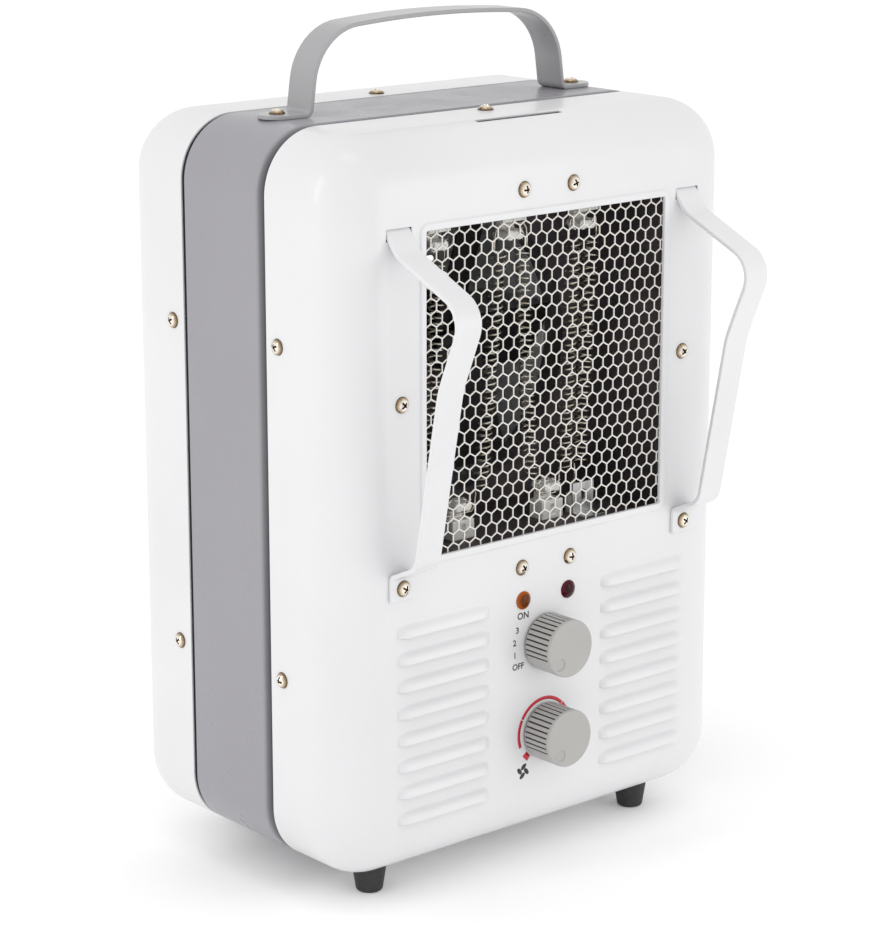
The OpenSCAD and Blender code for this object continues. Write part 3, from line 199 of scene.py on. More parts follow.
def spread(tree: NodeTree, value: NodeSocket, low: float, high: float) -> NodeSocket:
    """Map a noise value onto a range.

    Args:
        tree: The material's node tree.
        value: The noise.
        low: Result for dark noise.
        high: Result for bright noise.

    Returns:
        The mapped number.
    """
    node = tree.nodes.new("ShaderNodeMapRange")
    put(node, {"From Min": NOISE_RANGE[0], "From Max": NOISE_RANGE[1], "To Min": low, "To Max": high})
    tree.links.new(value, node.inputs["Value"])
    return node.outputs["Result"]


def arithmetic(tree: NodeTree, operation: str, value: NodeSocket, other: NodeSocket | float) -> NodeSocket:
    """Work on a number with one step of arithmetic.

    Args:
        tree: The material's node tree.
        operation: The step, as a Math node names it.
        value: The number.
        other: The second number, as a socket or a constant.

    Returns:
        The result.
    """
    node = tree.nodes.new("ShaderNodeMath")
    node.operation = operation
    tree.links.new(value, node.inputs[0])
    if isinstance(other, NodeSocket):
        tree.links.new(other, node.inputs[1])
    else:
        node.inputs[1].default_value = other
    return node.outputs["Value"]


def distance(tree: NodeTree, where: NodeSocket) -> NodeSocket:
    """Measure how far a place is from the middle of its coordinates.

    Args:
        tree: The material's node tree.
        where: The coordinates.

    Returns:
        The distance.
    """
    node = tree.nodes.new("ShaderNodeVectorMath")
    node.operation = "LENGTH"
    tree.links.new(where, node.inputs[0])
    return node.outputs["Value"]


def bump(tree: NodeTree, shader: Node, height: NodeSocket, depth_mm: float) -> None:
    """Give the shader a bump from a height.

    Args:
        tree: The material's node tree.
        shader: The shader that gets the normal.
        height: The height, from 0 to 1.
        depth_mm: How deep a full step of the height is.
    """
    node = tree.nodes.new("ShaderNodeBump")
    put(node, {"Strength": 1.0, "Distance": depth_mm * MM})
    tree.links.new(height, node.inputs["Height"])
    tree.links.new(node.outputs["Normal"], shader.inputs["Normal"])


def paint_shade(tree: NodeTree, shader: Node, share: NodeSocket, shade_colour: Colour) -> None:
    """Mix painted shade over the colour that a shader has.

    Args:
        tree: The material's node tree.
        shader: The shader, with its colour linked.
        share: How much of the painted shade covers the colour, from 0 to 1.
        shade_colour: The painted shade's colour.
    """
    plain = shader.inputs["Base Color"].links[0].from_socket
    mix = tree.nodes.new("ShaderNodeMix")
    mix.data_type = "RGBA"
    mix.inputs[7].default_value = (*shade_colour, 1)
    tree.links.new(share, mix.inputs[0])
    tree.links.new(plain, mix.inputs[6])
    tree.links.new(mix.outputs[2], shader.inputs["Base Color"])


@dataclass(frozen=True)
class Enamel(Finish):
    """Sprayed and baked paint on sheet steel: a faint peel, slight gloss, barely uneven colour."""

    name: str
    slot: str
    colour: Colour
    gloss: tuple[float, float] = (0.34, 0.42)
    coat: float = 0.25
    coat_gloss: float = 0.12
    specular: float = 0.5
    uneven: float = 0.965
    cloud_scale: float = 14.0
    gloss_scale: float = 60.0
    peel_scale: float = 420.0
    peel_mm: float = 0.005

    def dress(self, tree: NodeTree, shader: Node) -> None:
        """Set the paint's colour, gloss and peel.

        Args:
            tree: The material's node tree.
            shader: Its shader.
        """
        where = coordinates(tree)
        cloud = noise(tree, where, self.cloud_scale, 2.0)
        shade = tuple(c * self.uneven for c in self.colour)
        paint(tree, shader, cloud, [(0.35, shade), (0.65, self.colour)])
        sheen = noise(tree, where, self.gloss_scale)
        tree.links.new(spread(tree, sheen, *self.gloss), shader.inputs["Roughness"])
        put(shader, {
            "Coat Weight": self.coat, "Coat Roughness": self.coat_gloss, "Specular IOR Level": self.specular,
        })
        bump(tree, shader, noise(tree, where, self.peel_scale, 1.0), self.peel_mm)


@dataclass(frozen=True)
class Metal(Finish):
    """Bare or plated metal with fine streaks and uneven stains."""

    name: str
    slot: str
    bright: Colour
    stain: Colour
    gloss: tuple[float, float] = (0.25, 0.45)
    streak: Point = (1, 1, 1)
    stain_scale: float = 90.0
    grain_scale: float = 900.0
    scratch_mm: float = 0.01
    metallic: float = 1.0
    specular: float = 0.5

    def dress(self, tree: NodeTree, shader: Node) -> None:
        """Set the metal's colour, streaks and gloss.

        Args:
            tree: The material's node tree.
            shader: Its shader.
        """
        put(shader, {"Metallic": self.metallic, "Specular IOR Level": self.specular})
        blotch = noise(tree, coordinates(tree), self.stain_scale, 4.0)
        paint(tree, shader, blotch, [(0.38, self.stain), (0.62, self.bright)])
        grain = noise(tree, coordinates(tree, self.streak), self.grain_scale, 3.0)
        tree.links.new(spread(tree, grain, *self.gloss), shader.inputs["Roughness"])
        bump(tree, shader, grain, self.scratch_mm)


@dataclass(frozen=True)
class Moulded(Finish):
    """Moulded plastic, rubber or glazed ceramic: one colour, mottled a little, with a grain of its own."""

    name: str
    slot: str
    colour: Colour
    mottle: float = 0.06
    mottle_scale: float = 70.0
    gloss: tuple[float, float] = (0.45, 0.55)
    grain_scale: float = 1500.0
    grain_mm: float = 0.01
    coat: float = 0.0

    def dress(self, tree: NodeTree, shader: Node) -> None:
        """Set the colour, gloss and moulded grain.

        Args:
            tree: The material's node tree.
            shader: Its shader.
        """
        where = coordinates(tree)
        shade = tuple(c * (1 - self.mottle) for c in self.colour)
        paint(tree, shader, noise(tree, where, self.mottle_scale), [(0.3, shade), (0.7, self.colour)])
        grain = noise(tree, where, self.grain_scale, 2.0)
        tree.links.new(spread(tree, grain, *self.gloss), shader.inputs["Roughness"])
        put(shader, {"Coat Weight": self.coat})
        bump(tree, shader, grain, self.grain_mm)


@dataclass(frozen=True)
class Fluted(Moulded):
    """Moulded plastic with painted shade in the flutes of a knob."""

    axis_z: float = 0.0
    r: float = 1.0
    from_y: float = 0.0
    # Colour of the painted shade in the flutes.
    shade_colour: Colour = (0.05, 0.048, 0.045)

    def dress(self, tree: NodeTree, shader: Node) -> None:
        """Set the plastic, and the painted shade where the side lies below the knob's radius.

        Args:
            tree: The material's node tree.
            shader: Its shader.
        """
        super().dress(tree, shader)
        middle = (0, (FRONT_Y + self.from_y) * MM, self.axis_z * MM)
        apart = tree.nodes.new("ShaderNodeSeparateXYZ")
        tree.links.new(coordinates(tree, (1, 1, 1), middle), apart.inputs["Vector"])
        out = distance(tree, coordinates(tree, (1, 0, 1), middle))
        # Painted shade: darken the side below the knob's radius and behind the flutes' start.
        below = arithmetic(tree, "LESS_THAN", out, self.r * MM)
        behind = arithmetic(tree, "GREATER_THAN", apart.outputs["Y"], 0.0)
        paint_shade(tree, shader, arithmetic(tree, "MULTIPLY", below, behind), self.shade_colour)


@dataclass(frozen=True)
class Seamed(Enamel):
    """Paint that is darkened with painted shade where the sheet dips into a seam."""

    # Colour of the painted shade in the seam.
    shade_colour: Colour = (0.03, 0.03, 0.033)

    def dress(self, tree: NodeTree, shader: Node) -> None:
        """Set the paint, and the painted shade from the piece's own attribute.

        Args:
            tree: The material's node tree.
            shader: Its shader.
        """
        super().dress(tree, shader)
        # Painted shade: the recess attribute darkens the paint where it dips into the seam.
        mark = tree.nodes.new("ShaderNodeAttribute")
        mark.attribute_name = "recess"
        paint_shade(tree, shader, mark.outputs["Fac"], self.shade_colour)


@dataclass(frozen=True)
class GlintPainted(Metal):
    """Plated screw head with painted light: a painted highlight on the dome, painted shade at its rim and in
    its recess.
    """

    def dress(self, tree: NodeTree, shader: Node) -> None:
        """Set the metal, with its painted highlight and shade from the head's own attribute.

        Args:
            tree: The material's node tree.
            shader: Its shader.
        """
        super().dress(tree, shader)
        mark = tree.nodes.new("ShaderNodeAttribute")
        mark.attribute_name = "glint_shade"
        # Painted light: black painted shade in the recess, a painted highlight on the dome, painted shade at
        # the rim.
        stops = [
            (0.0, (0.03, 0.02, 0.012)), (0.22, (0.2, 0.14, 0.08)), (0.32, self.bright), (0.7, self.bright),
            (0.88, self.stain), (1.0, (0.05, 0.035, 0.025)),
        ]
        paint(tree, shader, mark.outputs["Fac"], stops)


@dataclass(frozen=True)
class Lens(Finish):
    """Clear coloured lens with painted light: deep in the middle and brightening to a painted glow at its
    rim.
    """

    name: str
    slot: str
    middle: Colour
    rim: Colour
    centre: Point
    radius: float
    gloss: float = 0.06
    index: float = 1.3
    ripple_scale: float = 260.0
    ripple_mm: float = 0.02

    def dress(self, tree: NodeTree, shader: Node) -> None:
        """Set the lens's colour from its middle to its rim.

        Args:
            tree: The material's node tree.
            shader: Its shader.
        """
        out = distance(tree, coordinates(tree, (1, 0, 1), self.centre))
        share = arithmetic(tree, "DIVIDE", out, self.radius * MM)
        # Painted light: the colour brightens from the middle to a painted glow at the rim.
        paint(tree, shader, share, [(0.6, self.middle), (1.0, self.rim)])
        put(shader, {"Roughness": self.gloss, "IOR": self.index})
        bump(tree, shader, noise(tree, coordinates(tree), self.ripple_scale, 1.0), self.ripple_mm)


@dataclass(frozen=True)
class Winding(Finish):
    """Enamelled copper wire, wound in close turns along one axis."""

    name: str
    slot: str
    wire: Colour
    # Colour of the painted shade between the turns.
    groove: Colour
    turns_per_metre: float = 1500.0
    wander: float = 0.6
    metallic: float = 0.7
    gloss: float = 0.35
    groove_mm: float = 0.2

    def dress(self, tree: NodeTree, shader: Node) -> None:
        """Set the wire's turns as bands of colour and height, with painted shade between them.

        Args:
            tree: The material's node tree.
            shader: Its shader.
        """
        wave = tree.nodes.new("ShaderNodeTexWave")
        wave.bands_direction = "X"
        put(wave, {"Scale": self.turns_per_metre / 20, "Distortion": self.wander})
        tree.links.new(coordinates(tree), wave.inputs["Vector"])
        # Painted shade: the groove colour darkens the gaps between the turns.
        paint(tree, shader, wave.outputs["Fac"], [(0.1, self.groove), (0.6, self.wire)])
        put(shader, {"Metallic": self.metallic, "Roughness": self.gloss})
        bump(tree, shader, wave.outputs["Fac"], self.groove_mm)


WHITE_ENAMEL = Enamel("white_enamel", "white_paint", (0.765, 0.765, 0.775))
# Grey band paint, with painted shade in its seams.
GREY_ENAMEL = Seamed(
    "grey_enamel", "grey_paint", (0.33, 0.322, 0.345), gloss=(0.26, 0.34), coat=0.06, specular=0.3
)
HANDLE_ENAMEL = Enamel("handle_enamel", "handle_paint", (0.355, 0.35, 0.36), gloss=(0.26, 0.34), coat=0.3)
MESH_ENAMEL = Enamel("mesh_enamel", "white_paint", (0.78, 0.76, 0.71), peel_mm=0.006)
# Screw heads, coloured with painted highlight and shade.
ZINC = GlintPainted("warm_zinc", "zinc_screws", (0.9, 0.85, 0.76), (0.42, 0.3, 0.18), gloss=(0.08, 0.16))
STEEL = Metal("plated_steel", "steel", (0.62, 0.62, 0.63), (0.46, 0.45, 0.44), streak=(1, 1, 0.08))
# Dark steel, darkened further with painted shade for the shade inside the heater; its stains are real.
SHADED_DUCT_STEEL = Metal(
    "duct_steel", "dark_steel", (0.115, 0.095, 0.102), (0.068, 0.055, 0.06), gloss=(0.5, 0.65),
    streak=(1, 0.1, 1), stain_scale=35.0, metallic=0.3,
)
CORE_STEEL = Metal("core_steel", "dark_steel", (0.25, 0.25, 0.26), (0.12, 0.11, 0.1), streak=(1, 12, 1))
BRASS = Metal("plain_brass", "brass", (0.8, 0.62, 0.3), (0.55, 0.38, 0.16))
COIL_WIRE = Metal(
    "coil_wire", "resistance_wire", (0.78, 0.74, 0.66), (0.42, 0.37, 0.3), gloss=(0.25, 0.45),
    stain_scale=400.0,
)
# Fan metal, near black as painted shade: the fan sits in shade inside the duct.
SHADED_FAN_METAL = Metal(
    "fan_sheet", "fan_aluminium", (0.032, 0.028, 0.029), (0.02, 0.017, 0.018), gloss=(0.55, 0.7),
    streak=(0.1, 1, 1), metallic=0.3, specular=0.3,
)
COPPER = Winding("wound_copper", "copper_winding", (0.55, 0.24, 0.1), (0.12, 0.04, 0.02))
BLACK_PLASTIC = Moulded("black_moulding", "black_plastic", (0.03, 0.03, 0.03))
RUBBER = Moulded(
    "foot_rubber", "rubber", (0.028, 0.028, 0.029), mottle=0.25, gloss=(0.55, 0.75), grain_scale=900.0,
    grain_mm=0.03,
)
CERAMIC = Moulded(
    "glazed_ceramic", "ceramic", (0.88, 0.87, 0.83), mottle=0.12, gloss=(0.08, 0.18), grain_scale=300.0,
    grain_mm=0.03, coat=0.6,
)
PLAIN_CERAMIC = Moulded("plain_ceramic", "ceramic", (0.7, 0.68, 0.62), gloss=(0.5, 0.7))
BLACK_INK = Moulded("black_ink", "", (0.035, 0.033, 0.035), mottle=0.3)
RED_INK = Moulded("red_ink", "", (0.6, 0.02, 0.045), mottle=0.1, gloss=(0.35, 0.45))


def fresh(geometry: list) -> list:
    """Keep the verts and edges of an operator's result, without its faces."""
    return [g for g in geometry if not isinstance(g, BMFace)]


def verts_of(geometry: list) -> list[BMVert]:
    """Pick the verts out of an operator's result."""
    return [g for g in geometry if isinstance(g, BMVert)]


class Line:
    """A line of edges, drawn from point to point with straight runs and round bends."""

    def __init__(self, start: Point, mesh: BMesh | None = None) -> None:
        """Start the line at a point, in its own mesh or in one that is given."""
        self.mesh = mesh or bmesh.new()
        self.tip = bmesh.ops.create_vert(self.mesh, co=start)["vert"][0]

    def run(self, to: Point) -> "Line":
        """Draw straight on to a point.

        Args:
            to: Where the run ends.

        Returns:
            This line.
        """
        self.tip = bmesh.ops.extrude_vert_indiv(self.mesh, verts=[self.tip])["verts"][0]
        self.tip.co = to
        return self

    def bend(self, centre: Point, axis: Point, angle: float, steps: int) -> "Line":
        """Draw a round bend.

        Args:
            centre: The bend's middle.
            axis: The axis that it turns about.
            angle: How far it turns, in radians.
            steps: Number of edges in the bend.

        Returns:
            This line.
        """
        made = bmesh.ops.spin(self.mesh, geom=[self.tip], cent=centre, axis=axis, angle=angle, steps=steps)
        self.tip = verts_of(made["geom_last"])[0]
        return self

    def geometry(self) -> list:
        """Give the verts and edges drawn so far."""
        return self.mesh.verts[:] + self.mesh.edges[:]


def strap_line(points: list[Vector], radii: list[float], steps: int) -> Line:
    """Draw a line through corners that are rounded off.

    Args:
        points: The corners, with both ends.
        radii: The bend radius at each corner between the ends.
        steps: Number of edges in each bend.

    Returns:
        The line.
    """
    line = Line(points[0])
    for before, corner, after, radius in zip(points, points[1:], points[2:], radii):
        back = (before - corner).normalized()
        on = (after - corner).normalized()
        half = back.angle(on) / 2
        start = corner + back * radius / math.tan(half)
        centre = corner + (back + on).normalized() * radius / math.sin(half)
        axis = (start - centre).cross(corner - centre).normalized()
        line.run(start).bend(centre, axis, math.pi - 2 * half, steps)
    return line.run(points[-1])


def draw_along(mesh: BMesh, geometry: list, step: Point) -> list:
    """Extrude edges by one straight step.

    Args:
        mesh: The mesh.
        geometry: The verts and edges to extrude.
        step: The step's vector.

    Returns:
        The verts and edges at the far end.
    """
    made = bmesh.ops.spin(
        mesh, geom=fresh(geometry), cent=(0, 0, 0), axis=(0, 1, 0), angle=0.0, dvec=step, steps=1
    )
    return fresh(made["geom_last"])


def shift(mesh: BMesh, by: Point | Vector) -> None:
    """Move all that the mesh holds."""
    bmesh.ops.translate(mesh, verts=mesh.verts, vec=by)


def weld(mesh: BMesh) -> None:
    """Join the verts that lie on each other."""
    bmesh.ops.remove_doubles(mesh, verts=mesh.verts, dist=MERGE)


def round_plate(mesh: BMesh, at: Point, w: float, h: float, r: float, steps: int = 6) -> BMFace:
    """Make a flat face with rounded corners that looks forwards.

    Args:
        mesh: The mesh.
        at: The face's middle.
        w: Its width.
        h: Its height.
        r: Its corner radius.
        steps: Edges in each corner.

    Returns:
        The face.
    """
    upright = Matrix.Translation(at) @ Matrix.Rotation(QUARTER, 4, "X")
    sized = upright @ Matrix.Diagonal((w / 2, h / 2, 1, 1))
    corners = bmesh.ops.create_grid(mesh, x_segments=1, y_segments=1, size=1, matrix=sized)["verts"]
    face = corners[0].link_faces[0]
    if r:
        made = bmesh.ops.bevel(
            mesh, geom=corners, offset=r, segments=steps, affect="VERTICES", profile=0.5, material=-1,
            clamp_overlap=True,
        )
        face = made["verts"][0].link_faces[0]
    return face


def hole(mesh: BMesh, at: Point, w: float, h: float, r: float, steps: int = 6, border: float = 0.0) -> None:
    """Draw the outline of a hole in a front face, as loose edges or with a level border round it.

    Args:
        mesh: The mesh.
        at: The hole's middle.
        w: Its width.
        h: Its height.
        r: Its corner radius.
        steps: Edges in each corner.
        border: Width of the level border.
    """
    face = round_plate(mesh, at, w + 2 * border, h + 2 * border, r + border, steps)
    if border:
        bmesh.ops.inset_region(
            mesh, faces=[face], thickness=border, depth=-0.02, use_even_offset=True, use_boundary=True
        )
    bmesh.ops.delete(mesh, geom=[face], context="FACES_ONLY")


def fill_flat(mesh: BMesh, y: float = 0.0) -> None:
    """Fill a plane between its outer outline and the outlines of its holes.

    Args:
        mesh: The mesh.
        y: Place of the plane.
    """
    edges = [
        e for e in mesh.edges
        if (e.is_boundary or e.is_wire) and all(abs(v.co.y - y) < MERGE for v in e.verts)
    ]
    bmesh.ops.triangle_fill(mesh, edges=edges, use_beauty=True, normal=(0, -1, 0))


def full_turn(mesh: BMesh, centre: Point, axis: Point, steps: int) -> None:
    """Turn what the mesh holds into a round body about an axis.

    Args:
        mesh: The mesh.
        centre: A point on the axis.
        axis: The axis.
        steps: Steps in the full turn.
    """
    bmesh.ops.spin(
        mesh, geom=mesh.verts[:] + mesh.edges[:], cent=centre, axis=axis, angle=2 * math.pi, steps=steps,
        use_merge=True,
    )


def copy_into(mesh: BMesh, part: BMesh, placings: list[Matrix]) -> None:
    """Add copies of a part to a mesh.

    Args:
        mesh: The mesh that grows.
        part: The part, which is freed.
        placings: One matrix for each copy.
    """
    held = bpy.data.meshes.new("part")
    part.to_mesh(held)
    part.free()
    for placing in placings:
        count = len(mesh.verts)
        mesh.from_mesh(held)
        mesh.verts.ensure_lookup_table()
        bmesh.ops.transform(mesh, matrix=placing, verts=mesh.verts[count:])
    bpy.data.meshes.remove(held)


def mesh_of(curve: bpy.types.Curve) -> BMesh:
    """Turn a curve or a text into a mesh.

    Args:
        curve: The curve.

    Returns:
        The mesh.
    """
    holder = bpy.data.objects.new(curve.name, curve)
    flat = bpy.data.meshes.new_from_object(holder)
    bpy.data.objects.remove(holder)
    mesh = bmesh.new()
    mesh.from_mesh(flat)
    bpy.data.meshes.remove(flat)
    return mesh


def link_piece(name: str, mesh: Mesh, finish: Finish, body: Body, stands_for: tuple[str, ...]) -> Object:
    """Put a finished mesh into the scene on its body.

    Args:
        name: The piece's name.
        mesh: Its mesh, in the frame, in metres.
        finish: Its finish.
        body: The body that it rides on.
        stands_for: The nodes of the frame that it replaces.

    Returns:
        The object.
    """
    piece = bpy.data.objects.new(name, mesh)
    bpy.context.scene.collection.objects.link(piece)
    mesh.materials.clear()
    mesh.materials.append(finish.material())
    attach(piece, body.value)
    if stands_for:
        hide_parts(*stands_for)
    log.info("%s: %d faces on %s", name, len(mesh.polygons), body.value)
    return piece


def make_piece(
    name: str, mesh: BMesh, finish: Finish, body: Body = Body.HEATER, stands_for: tuple[str, ...] = (),
    recalc: bool = True,
) -> Object:
    """Close a mesh drawn in millimetres, set it into the frame and make it a piece.

    Args:
        name: The piece's name.
        mesh: The mesh, which is freed.
        finish: Its finish.
        body: The body that it rides on.
        stands_for: The nodes of the frame that it replaces.
        recalc: Whether the faces are turned outwards here.

    Returns:
        The object.
    """
    weld(mesh)
    if recalc:
        bmesh.ops.recalc_face_normals(mesh, faces=mesh.faces)
    bmesh.ops.transform(mesh, matrix=INTO_FRAME, verts=mesh.verts)
    data = bpy.data.meshes.new(name)
    mesh.to_mesh(data)
    mesh.free()
    data.shade_smooth()
    return link_piece(name, data, finish, body, stands_for)


def thicken(piece: Object, wall: float, offset: float = -1.0) -> None:
    """Give a sheet its wall thickness.

    Args:
        piece: The sheet.
        wall: Its thickness, in millimetres.
        offset: Side that the wall grows to: -1 behind the sheet, 0 to both sides.
    """
    wall_of = piece.modifiers.new("wall", "SOLIDIFY")
    wall_of.thickness = wall * MM
    wall_of.offset = offset
    wall_of.use_even_offset = True


def soften(piece: Object, width: float, segments: int = 2, over: float = 35.0) -> None:
    """Round the sharp edges of a piece and even out its shading.

    Args:
        piece: The piece.
        width: Width of the rounding, in millimetres.
        segments: Steps in the rounding.
        over: Least angle of an edge that is rounded, in degrees.
    """
    edge = piece.modifiers.new("edges", "BEVEL")
    edge.width = width * MM
    edge.segments = segments
    edge.limit_method = "ANGLE"
    edge.angle_limit = math.radians(over)
    edge.use_clamp_overlap = False
    even = piece.modifiers.new("shading", "WEIGHTED_NORMAL")
    even.keep_sharp = True


@dataclass
class Casing:
    """The two drawn covers and the band between them."""

    edge_r: float = 25.0
    face_border: float = 1.0
    front_depth: float = 50.0
    hem: float = 4.0
    rear_depth: float = 49.0
    seam: float = 0.8
    tongue: float = 15.0
    tongue_inset: float = 1.2
    roll_l: float = 4.6
    roll_drop: float = 4.4
    roll_foot: float = 1.6
    # How deep the band dips before its painted shade is full.
    seam_shade_depth: float = 3.0
    groove: float = 1.4
    groove_drop: float = 4.5
    rim_w: float = 3.5
    rim_h: float = 0.8
    rim_r: float = 4.6
    rim_edges: tuple[float, float] = (0.7, 0.3)
    slit_l: float = 50.0
    slit_front: float = 18.5
    slit_rear: float = 21.5
    corner_steps: int = 20
    louver_count: int = 8
    louver_pitch: float = 12.25
    louver_l: float = 53.0
    louver_h: float = 6.6
    louver_out: float = 3.0
    louver_end: float = 6.0
    louver_fall: float = 0.25
    louver_round: float = 0.75
    louver_border: float = 0.6
    louver_x: float = 60.6
    louver_z: float = FOOT_H + 27
    blend_r: float = 2.4
    intake_rows: int = 13
    intake_pitch: float = 10.5
    intake_l: float = 64.0
    intake_w: float = 4.6
    intake_x: float = 37.0
    intake_border: float = 0.8
    bushing_at: Point = (70.0, 0.0, FOOT_H + 34)
    bushing_hole_r: float = 6.0
    bushing_corner_r: float = 5.95
    guard_slot: tuple[float, float] = (14.0, 5.0)
    guard_slot_drop: float = 40.7
    lamp_hole: tuple[float, float] = (8.1, 4.0)
    spindle_hole: tuple[float, float] = (10.0, 4.9)
    edge_round: float = 0.22
    band_round: float = 0.15
    round_slack: float = 0.02

    def corner(self) -> Vector:
        """Give the corner's axis, from the casing's middle."""
        return Vector((BODY_W / 2 - CORNER_R, 0, BODY_H / 2 - CORNER_R))

    def sweep(self, line: Line, cuts: tuple[float, ...] = ()) -> BMesh:
        """Draw a profile all round the casing's outline.

        Args:
            line: The profile at the upper right corner's axis, with x measured out from that axis.
            cuts: Places along x where the top and the underside get an edge across them.

        Returns:
            The mesh of the ring.
        """
        mesh = line.mesh
        arm = self.corner()
        middle = Vector((0, 0, MID_Z))
        shift(mesh, arm + middle)
        geometry = line.geometry()
        across = [arm.x, *cuts, -arm.x]
        upright = [arm.z, -arm.z]
        sides = (
            ((1, 1), across, (-1, 0)), ((-1, 1), upright, (0, -1)),
            ((-1, -1), across, (1, 0)), ((1, -1), upright, (0, 1)),
        )
        for (sx, sz), stations, (dx, dz) in sides:
            centre = middle + Vector((sx * arm.x, 0, sz * arm.z))
            made = bmesh.ops.spin(
                mesh, geom=geometry, cent=centre, axis=(0, -1, 0), angle=QUARTER, steps=self.corner_steps
            )
            geometry = fresh(made["geom_last"])
            for near, far in zip(stations, stations[1:]):
                geometry = draw_along(mesh, geometry, (dx * (near - far), 0, dz * (near - far)))
        weld(mesh)
        return mesh

    def pan(self, depth: float, cuts: tuple[float, ...] = (), border: float = 0.0) -> BMesh:
        """Draw the rounded edge and the skirt of a cover, with its face towards -Y.

        Args:
            depth: The cover's depth.
            cuts: Places along x where the top and the underside get an edge across them.
            border: Width of a level border round the face, inside the rounded edge.

        Returns:
            The mesh, open at the face.
        """
        start = CORNER_R - self.edge_r
        line = Line((start - border, 0, 0))
        if border:
            line.run((start, 0, 0))
        turned = 0.0
        for y, steps in ((self.slit_front, 11), (self.slit_rear, 1), (self.edge_r, 2)):
            angle = math.acos(1 - y / self.edge_r)
            line.bend((start, self.edge_r, 0), (0, 0, 1), angle - turned, steps)
            turned = angle
        line.run((CORNER_R, depth - self.hem, 0)).run((CORNER_R, depth, 0))
        return self.sweep(line, cuts)

    def rim(self, mesh: BMesh) -> None:
        """Press the raised rim round the outlet, and turn its inner edge in.

        Args:
            mesh: The cover's mesh.
        """
        slope, lip = self.rim_edges
        turned_in = self.rim_h - lip + 0.9 * SHEET
        face = round_plate(mesh, (0, 0, OPEN_Z), OPEN_W + 2 * self.rim_w, OPEN_H + 2 * self.rim_w, self.rim_r)
        for thickness, depth in (
            (slope, self.rim_h), (self.rim_w - slope - lip, 0.0), (lip, -lip), (0.0001, -turned_in)
        ):
            bmesh.ops.inset_region(
                mesh, faces=[face], thickness=thickness, depth=depth, use_even_offset=True, use_boundary=True
            )
        bmesh.ops.delete(mesh, geom=[face], context="FACES_ONLY")

    def louver(self) -> BMesh:
        """Draw one louvre: a bowed hood that sinks into the sheet at both ends, open below.

        Returns:
            The hood, with the middle of its lip over the origin.
        """
        reach = (self.louver_h ** 2 + self.louver_out ** 2) / (2 * self.louver_out)
        hood_r = reach - self.blend_r
        angle = math.asin(self.louver_h / reach)
        half = self.louver_l / 2
        line = Line((0, -self.louver_out, 0))
        line.bend((0, hood_r - self.louver_out, 0), (-1, 0, 0), angle, 5)
        line.bend((0, -self.blend_r, self.louver_h), (1, 0, 0), angle, 4)
        mesh = line.mesh
        shift(mesh, (-half - self.louver_border, 0, 0))
        profile = line.geometry()
        stations = (0.0, 0.08, 0.2, 0.36, 0.6, 1.0)
        steps = [self.louver_border, *((b - a) * self.louver_end for a, b in zip(stations, stations[1:]))]
        for step in (*steps, 2 * (half - self.louver_end), *reversed(steps)):
            profile = draw_along(mesh, profile, (step, 0, 0))
        for v in mesh.verts:
            share = min(1.0, max(0.0, (abs(v.co.x) - half) / self.louver_end + 1))
            v.co.y *= (1 - share ** 2) ** self.louver_round
            v.co.z *= 1 - self.louver_fall * share ** 2
        ends = [
            v for v in mesh.verts
            if abs(v.co.z) < MERGE and abs(v.co.y) < MERGE and abs(v.co.x) < half + MERGE
        ]
        mesh.edges.new(ends)
        return mesh

    def front_cover(self) -> Object:
        """Build the front cover with its rim, louvres, slit and holes.

        Returns:
            The cover.
        """
        half_slit = self.slit_l / 2
        mesh = self.pan(self.front_depth, (half_slit, -half_slit))
        slit = [
            f for f in mesh.faces
            if abs(f.calc_center_median().x) < half_slit and f.calc_center_median().z > MID_Z
            and self.slit_front < f.calc_center_median().y < self.slit_rear
        ]
        bmesh.ops.delete(mesh, geom=slit, context="FACES")
        self.rim(mesh)
        places = [
            Matrix.Translation((s * self.louver_x, 0, self.louver_z + i * self.louver_pitch))
            for s in (-1, 1) for i in range(self.louver_count)
        ]
        copy_into(mesh, self.louver(), places)
        for s in (-1, 1):
            hole(mesh, (s * GUARD_X, 0, TOP_Z - self.guard_slot_drop), *self.guard_slot, 0)
            wide, corner_r = self.lamp_hole
            hole(mesh, (s * LAMP_X, 0, LAMP_Z), wide, wide, corner_r)
        for z in (SELECTOR_Z, THERMOSTAT_Z):
            wide, corner_r = self.spindle_hole
            hole(mesh, (0, 0, z), wide, wide, corner_r)
        fill_flat(mesh)
        cover = make_piece("front_shell", mesh, WHITE_ENAMEL, stands_for=("front_cover",))
        thicken(cover, SHEET)
        soften(cover, self.edge_round)
        return cover

    def rear_cover(self) -> Object:
        """Build the rear cover with its intake slots.

        Returns:
            The cover.
        """
        mesh = self.pan(self.rear_depth, border=self.face_border)
        for s in (-1, 1):
            for i in range(self.intake_rows):
                z = OPEN_Z + (i - (self.intake_rows - 1) / 2) * self.intake_pitch
                hole(
                    mesh, (s * self.intake_x, 0, z), self.intake_l, self.intake_w,
                    self.intake_w / 2 - self.round_slack, border=self.intake_border,
                )
        at = self.bushing_at
        across = 2 * self.bushing_hole_r
        hole(mesh, (-at[0], 0, at[2]), across, across, self.bushing_corner_r)
        fill_flat(mesh)
        about = Matrix.Translation((0, BODY_D, 0)) @ Matrix.Rotation(math.pi, 4, "Z")
        bmesh.ops.transform(mesh, matrix=about, verts=mesh.verts)
        cover = make_piece("rear_shell", mesh, WHITE_ENAMEL, stands_for=("rear_cover",))
        thicken(cover, SHEET)
        soften(cover, self.edge_round)
        return cover

    def band(self) -> Object:
        """Build the grey band, rolled in at its front edge and stepped in at its rear edge.

        Returns:
            The band.
        """
        front = self.front_depth + self.seam
        rear = BODY_D - self.rear_depth - self.seam - self.groove
        far = BODY_D - self.rear_depth + 1.0
        low = CORNER_R - self.roll_drop
        deep = CORNER_R - self.groove_drop
        under = CORNER_R - self.tongue_inset
